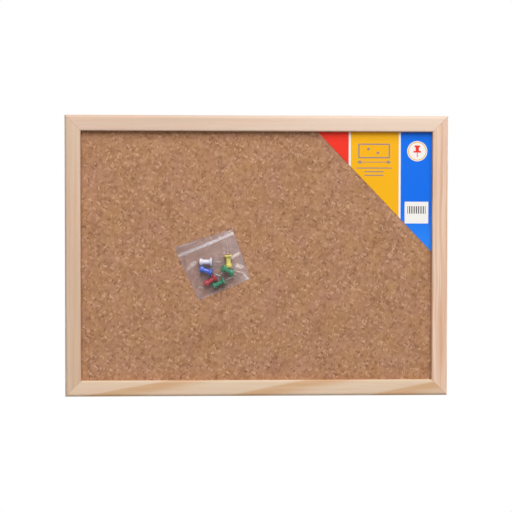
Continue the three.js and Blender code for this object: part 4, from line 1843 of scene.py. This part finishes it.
    def build(self) -> None:
        """Makes the films and dresses the zip and the glue dot. Clear pieces cast no shadow."""
        sizes = (self.place, self.weld, self.zip_line)
        clear_front = FilmFinish("sachet_film_front", *sizes, self.front_haze, self.folds)
        clear_back = FilmFinish("sachet_film_back", *sizes, self.back_haze)
        back = self.back()
        front = self.front()
        settle(back, "sachet", "sachet_film_back", clear_back)
        settle(front, "sachet", "sachet_film_front", clear_front)
        zip_plastic = ZipFinish("sachet_zip", self.place)
        strips = [keep_shape(node, zip_plastic) for node in ("sachet_zip_channel", "sachet_zip_rib")]
        glue_dot = keep_shape("sachet_glue_dot", GlueFinish("sachet_glue"))
        for clear_piece in (back, front, glue_dot, *strips):
            clear_piece.visible_shadow = False


@dataclass(frozen=True)
class Lamp:
    """A soft square lamp: its name, where it hangs, its side and its power in watts."""

    name: str
    place: Triple
    side: float
    power: float


@dataclass
class Studio:
    """The camera, the lamps, the room's light and the floor."""

    aim: Triple = (-0.00152, -0.0187, -0.13813)
    distance: float = 1.5
    azimuth: float = math.radians(-2.577)
    elevation: float = math.radians(1.752)
    roll: float = math.radians(0.06)
    lens: float = 101.2
    sensor: float = 36.0
    floor_height: float = -0.95
    floor_half: float = 8.0
    room: float = 0.2
    lamps: tuple[Lamp, ...] = (
        Lamp("key_lamp", (0.6, -2.9, 2.9), 3.0, 182.0),
        Lamp("fill_lamp", (-0.9, -2.2, 0.9), 1.2, 9.0),
        Lamp("rear_lamp", (2.4, 1.8, 0.3), 1.8, 70.0),
        Lamp("back_lamp", (-0.8, 3.2, 0.2), 1.8, 52.0),
    )

    def point_at_board(self, thing: bpy.types.Object, place: Vector, roll: float = 0.0) -> None:
        """Puts a camera or a lamp in its place and turns it to the board.

        Args:
            thing: the camera or the lamp.
            place: where it goes.
            roll: its turn about its own line of sight, in radians.
        """
        level = (Vector(self.aim) - place).to_track_quat("-Z", "Y")
        thing.location = place
        thing.rotation_mode = "QUATERNION"
        thing.rotation_quaternion = level @ Quaternion((0.0, 0.0, 1.0), roll)

    def build_camera(self) -> None:
        """Puts the camera where the board is seen from, a little left of it and above."""
        flat = math.cos(self.elevation)
        sideways = math.sin(self.azimuth) * flat
        back = Vector((sideways, -math.cos(self.azimuth) * flat, math.sin(self.elevation)))
        data = bpy.data.cameras.new("board_camera")
        data.sensor_width = self.sensor
        data.lens = self.lens
        camera = add_object("board_camera", data)
        self.point_at_board(camera, Vector(self.aim) + back * self.distance, self.roll)
        bpy.context.scene.camera = camera

    def hang_lamps(self) -> None:
        """Hangs the lamps, which face the board."""
        for lamp in self.lamps:
            data = bpy.data.lights.new(lamp.name, "AREA")
            data.shape = "SQUARE"
            data.size = lamp.side
            data.energy = lamp.power
            self.point_at_board(add_object(lamp.name, data), Vector(lamp.place))

    def build_room(self) -> None:
        """Fills the room with even light, which shows as plain white."""
        world = bpy.data.worlds.new("white_room")
        bpy.context.scene.world = world
        world.use_nodes = True
        graph = Graph(world.node_tree)
        strength = graph.seen().lifted(self.room)
        light = graph.node("ShaderNodeBackground", {}, {"Color": WHITE, "Strength": strength})
        graph.node("ShaderNodeOutputWorld", {}, {"Surface": light})

    def build_floor(self) -> None:
        """Lays the white floor well below the hung board."""
        mesh = bmesh.new()
        half = self.floor_half
        corners = [(-half, -half), (half, -half), (half, half), (-half, half)]
        mesh.faces.new([mesh.verts.new((x, y, self.floor_height)) for x, y in corners])
        floor = new_piece("white_floor", mesh)
        dress(floor, FloorFinish("floor_white"))

    def build(self) -> None:
        """Sets up everything round the board."""
        bpy.context.scene.view_settings.view_transform = "Standard"
        self.build_camera()
        self.hang_lamps()
        self.build_room()
        self.build_floor()


def main() -> None:
    """Builds the studio and every part of the board in order."""
    logging.basicConfig(level=logging.INFO, format="%(name)s: %(message)s")
    Studio().build()
    PineFrame().build()
    BoardPanel().build()
    Hangers().build()
    CornerCard().build()
    PinSachet().build()
    PushPins().build()


if __name__ == "__main__":
    main()
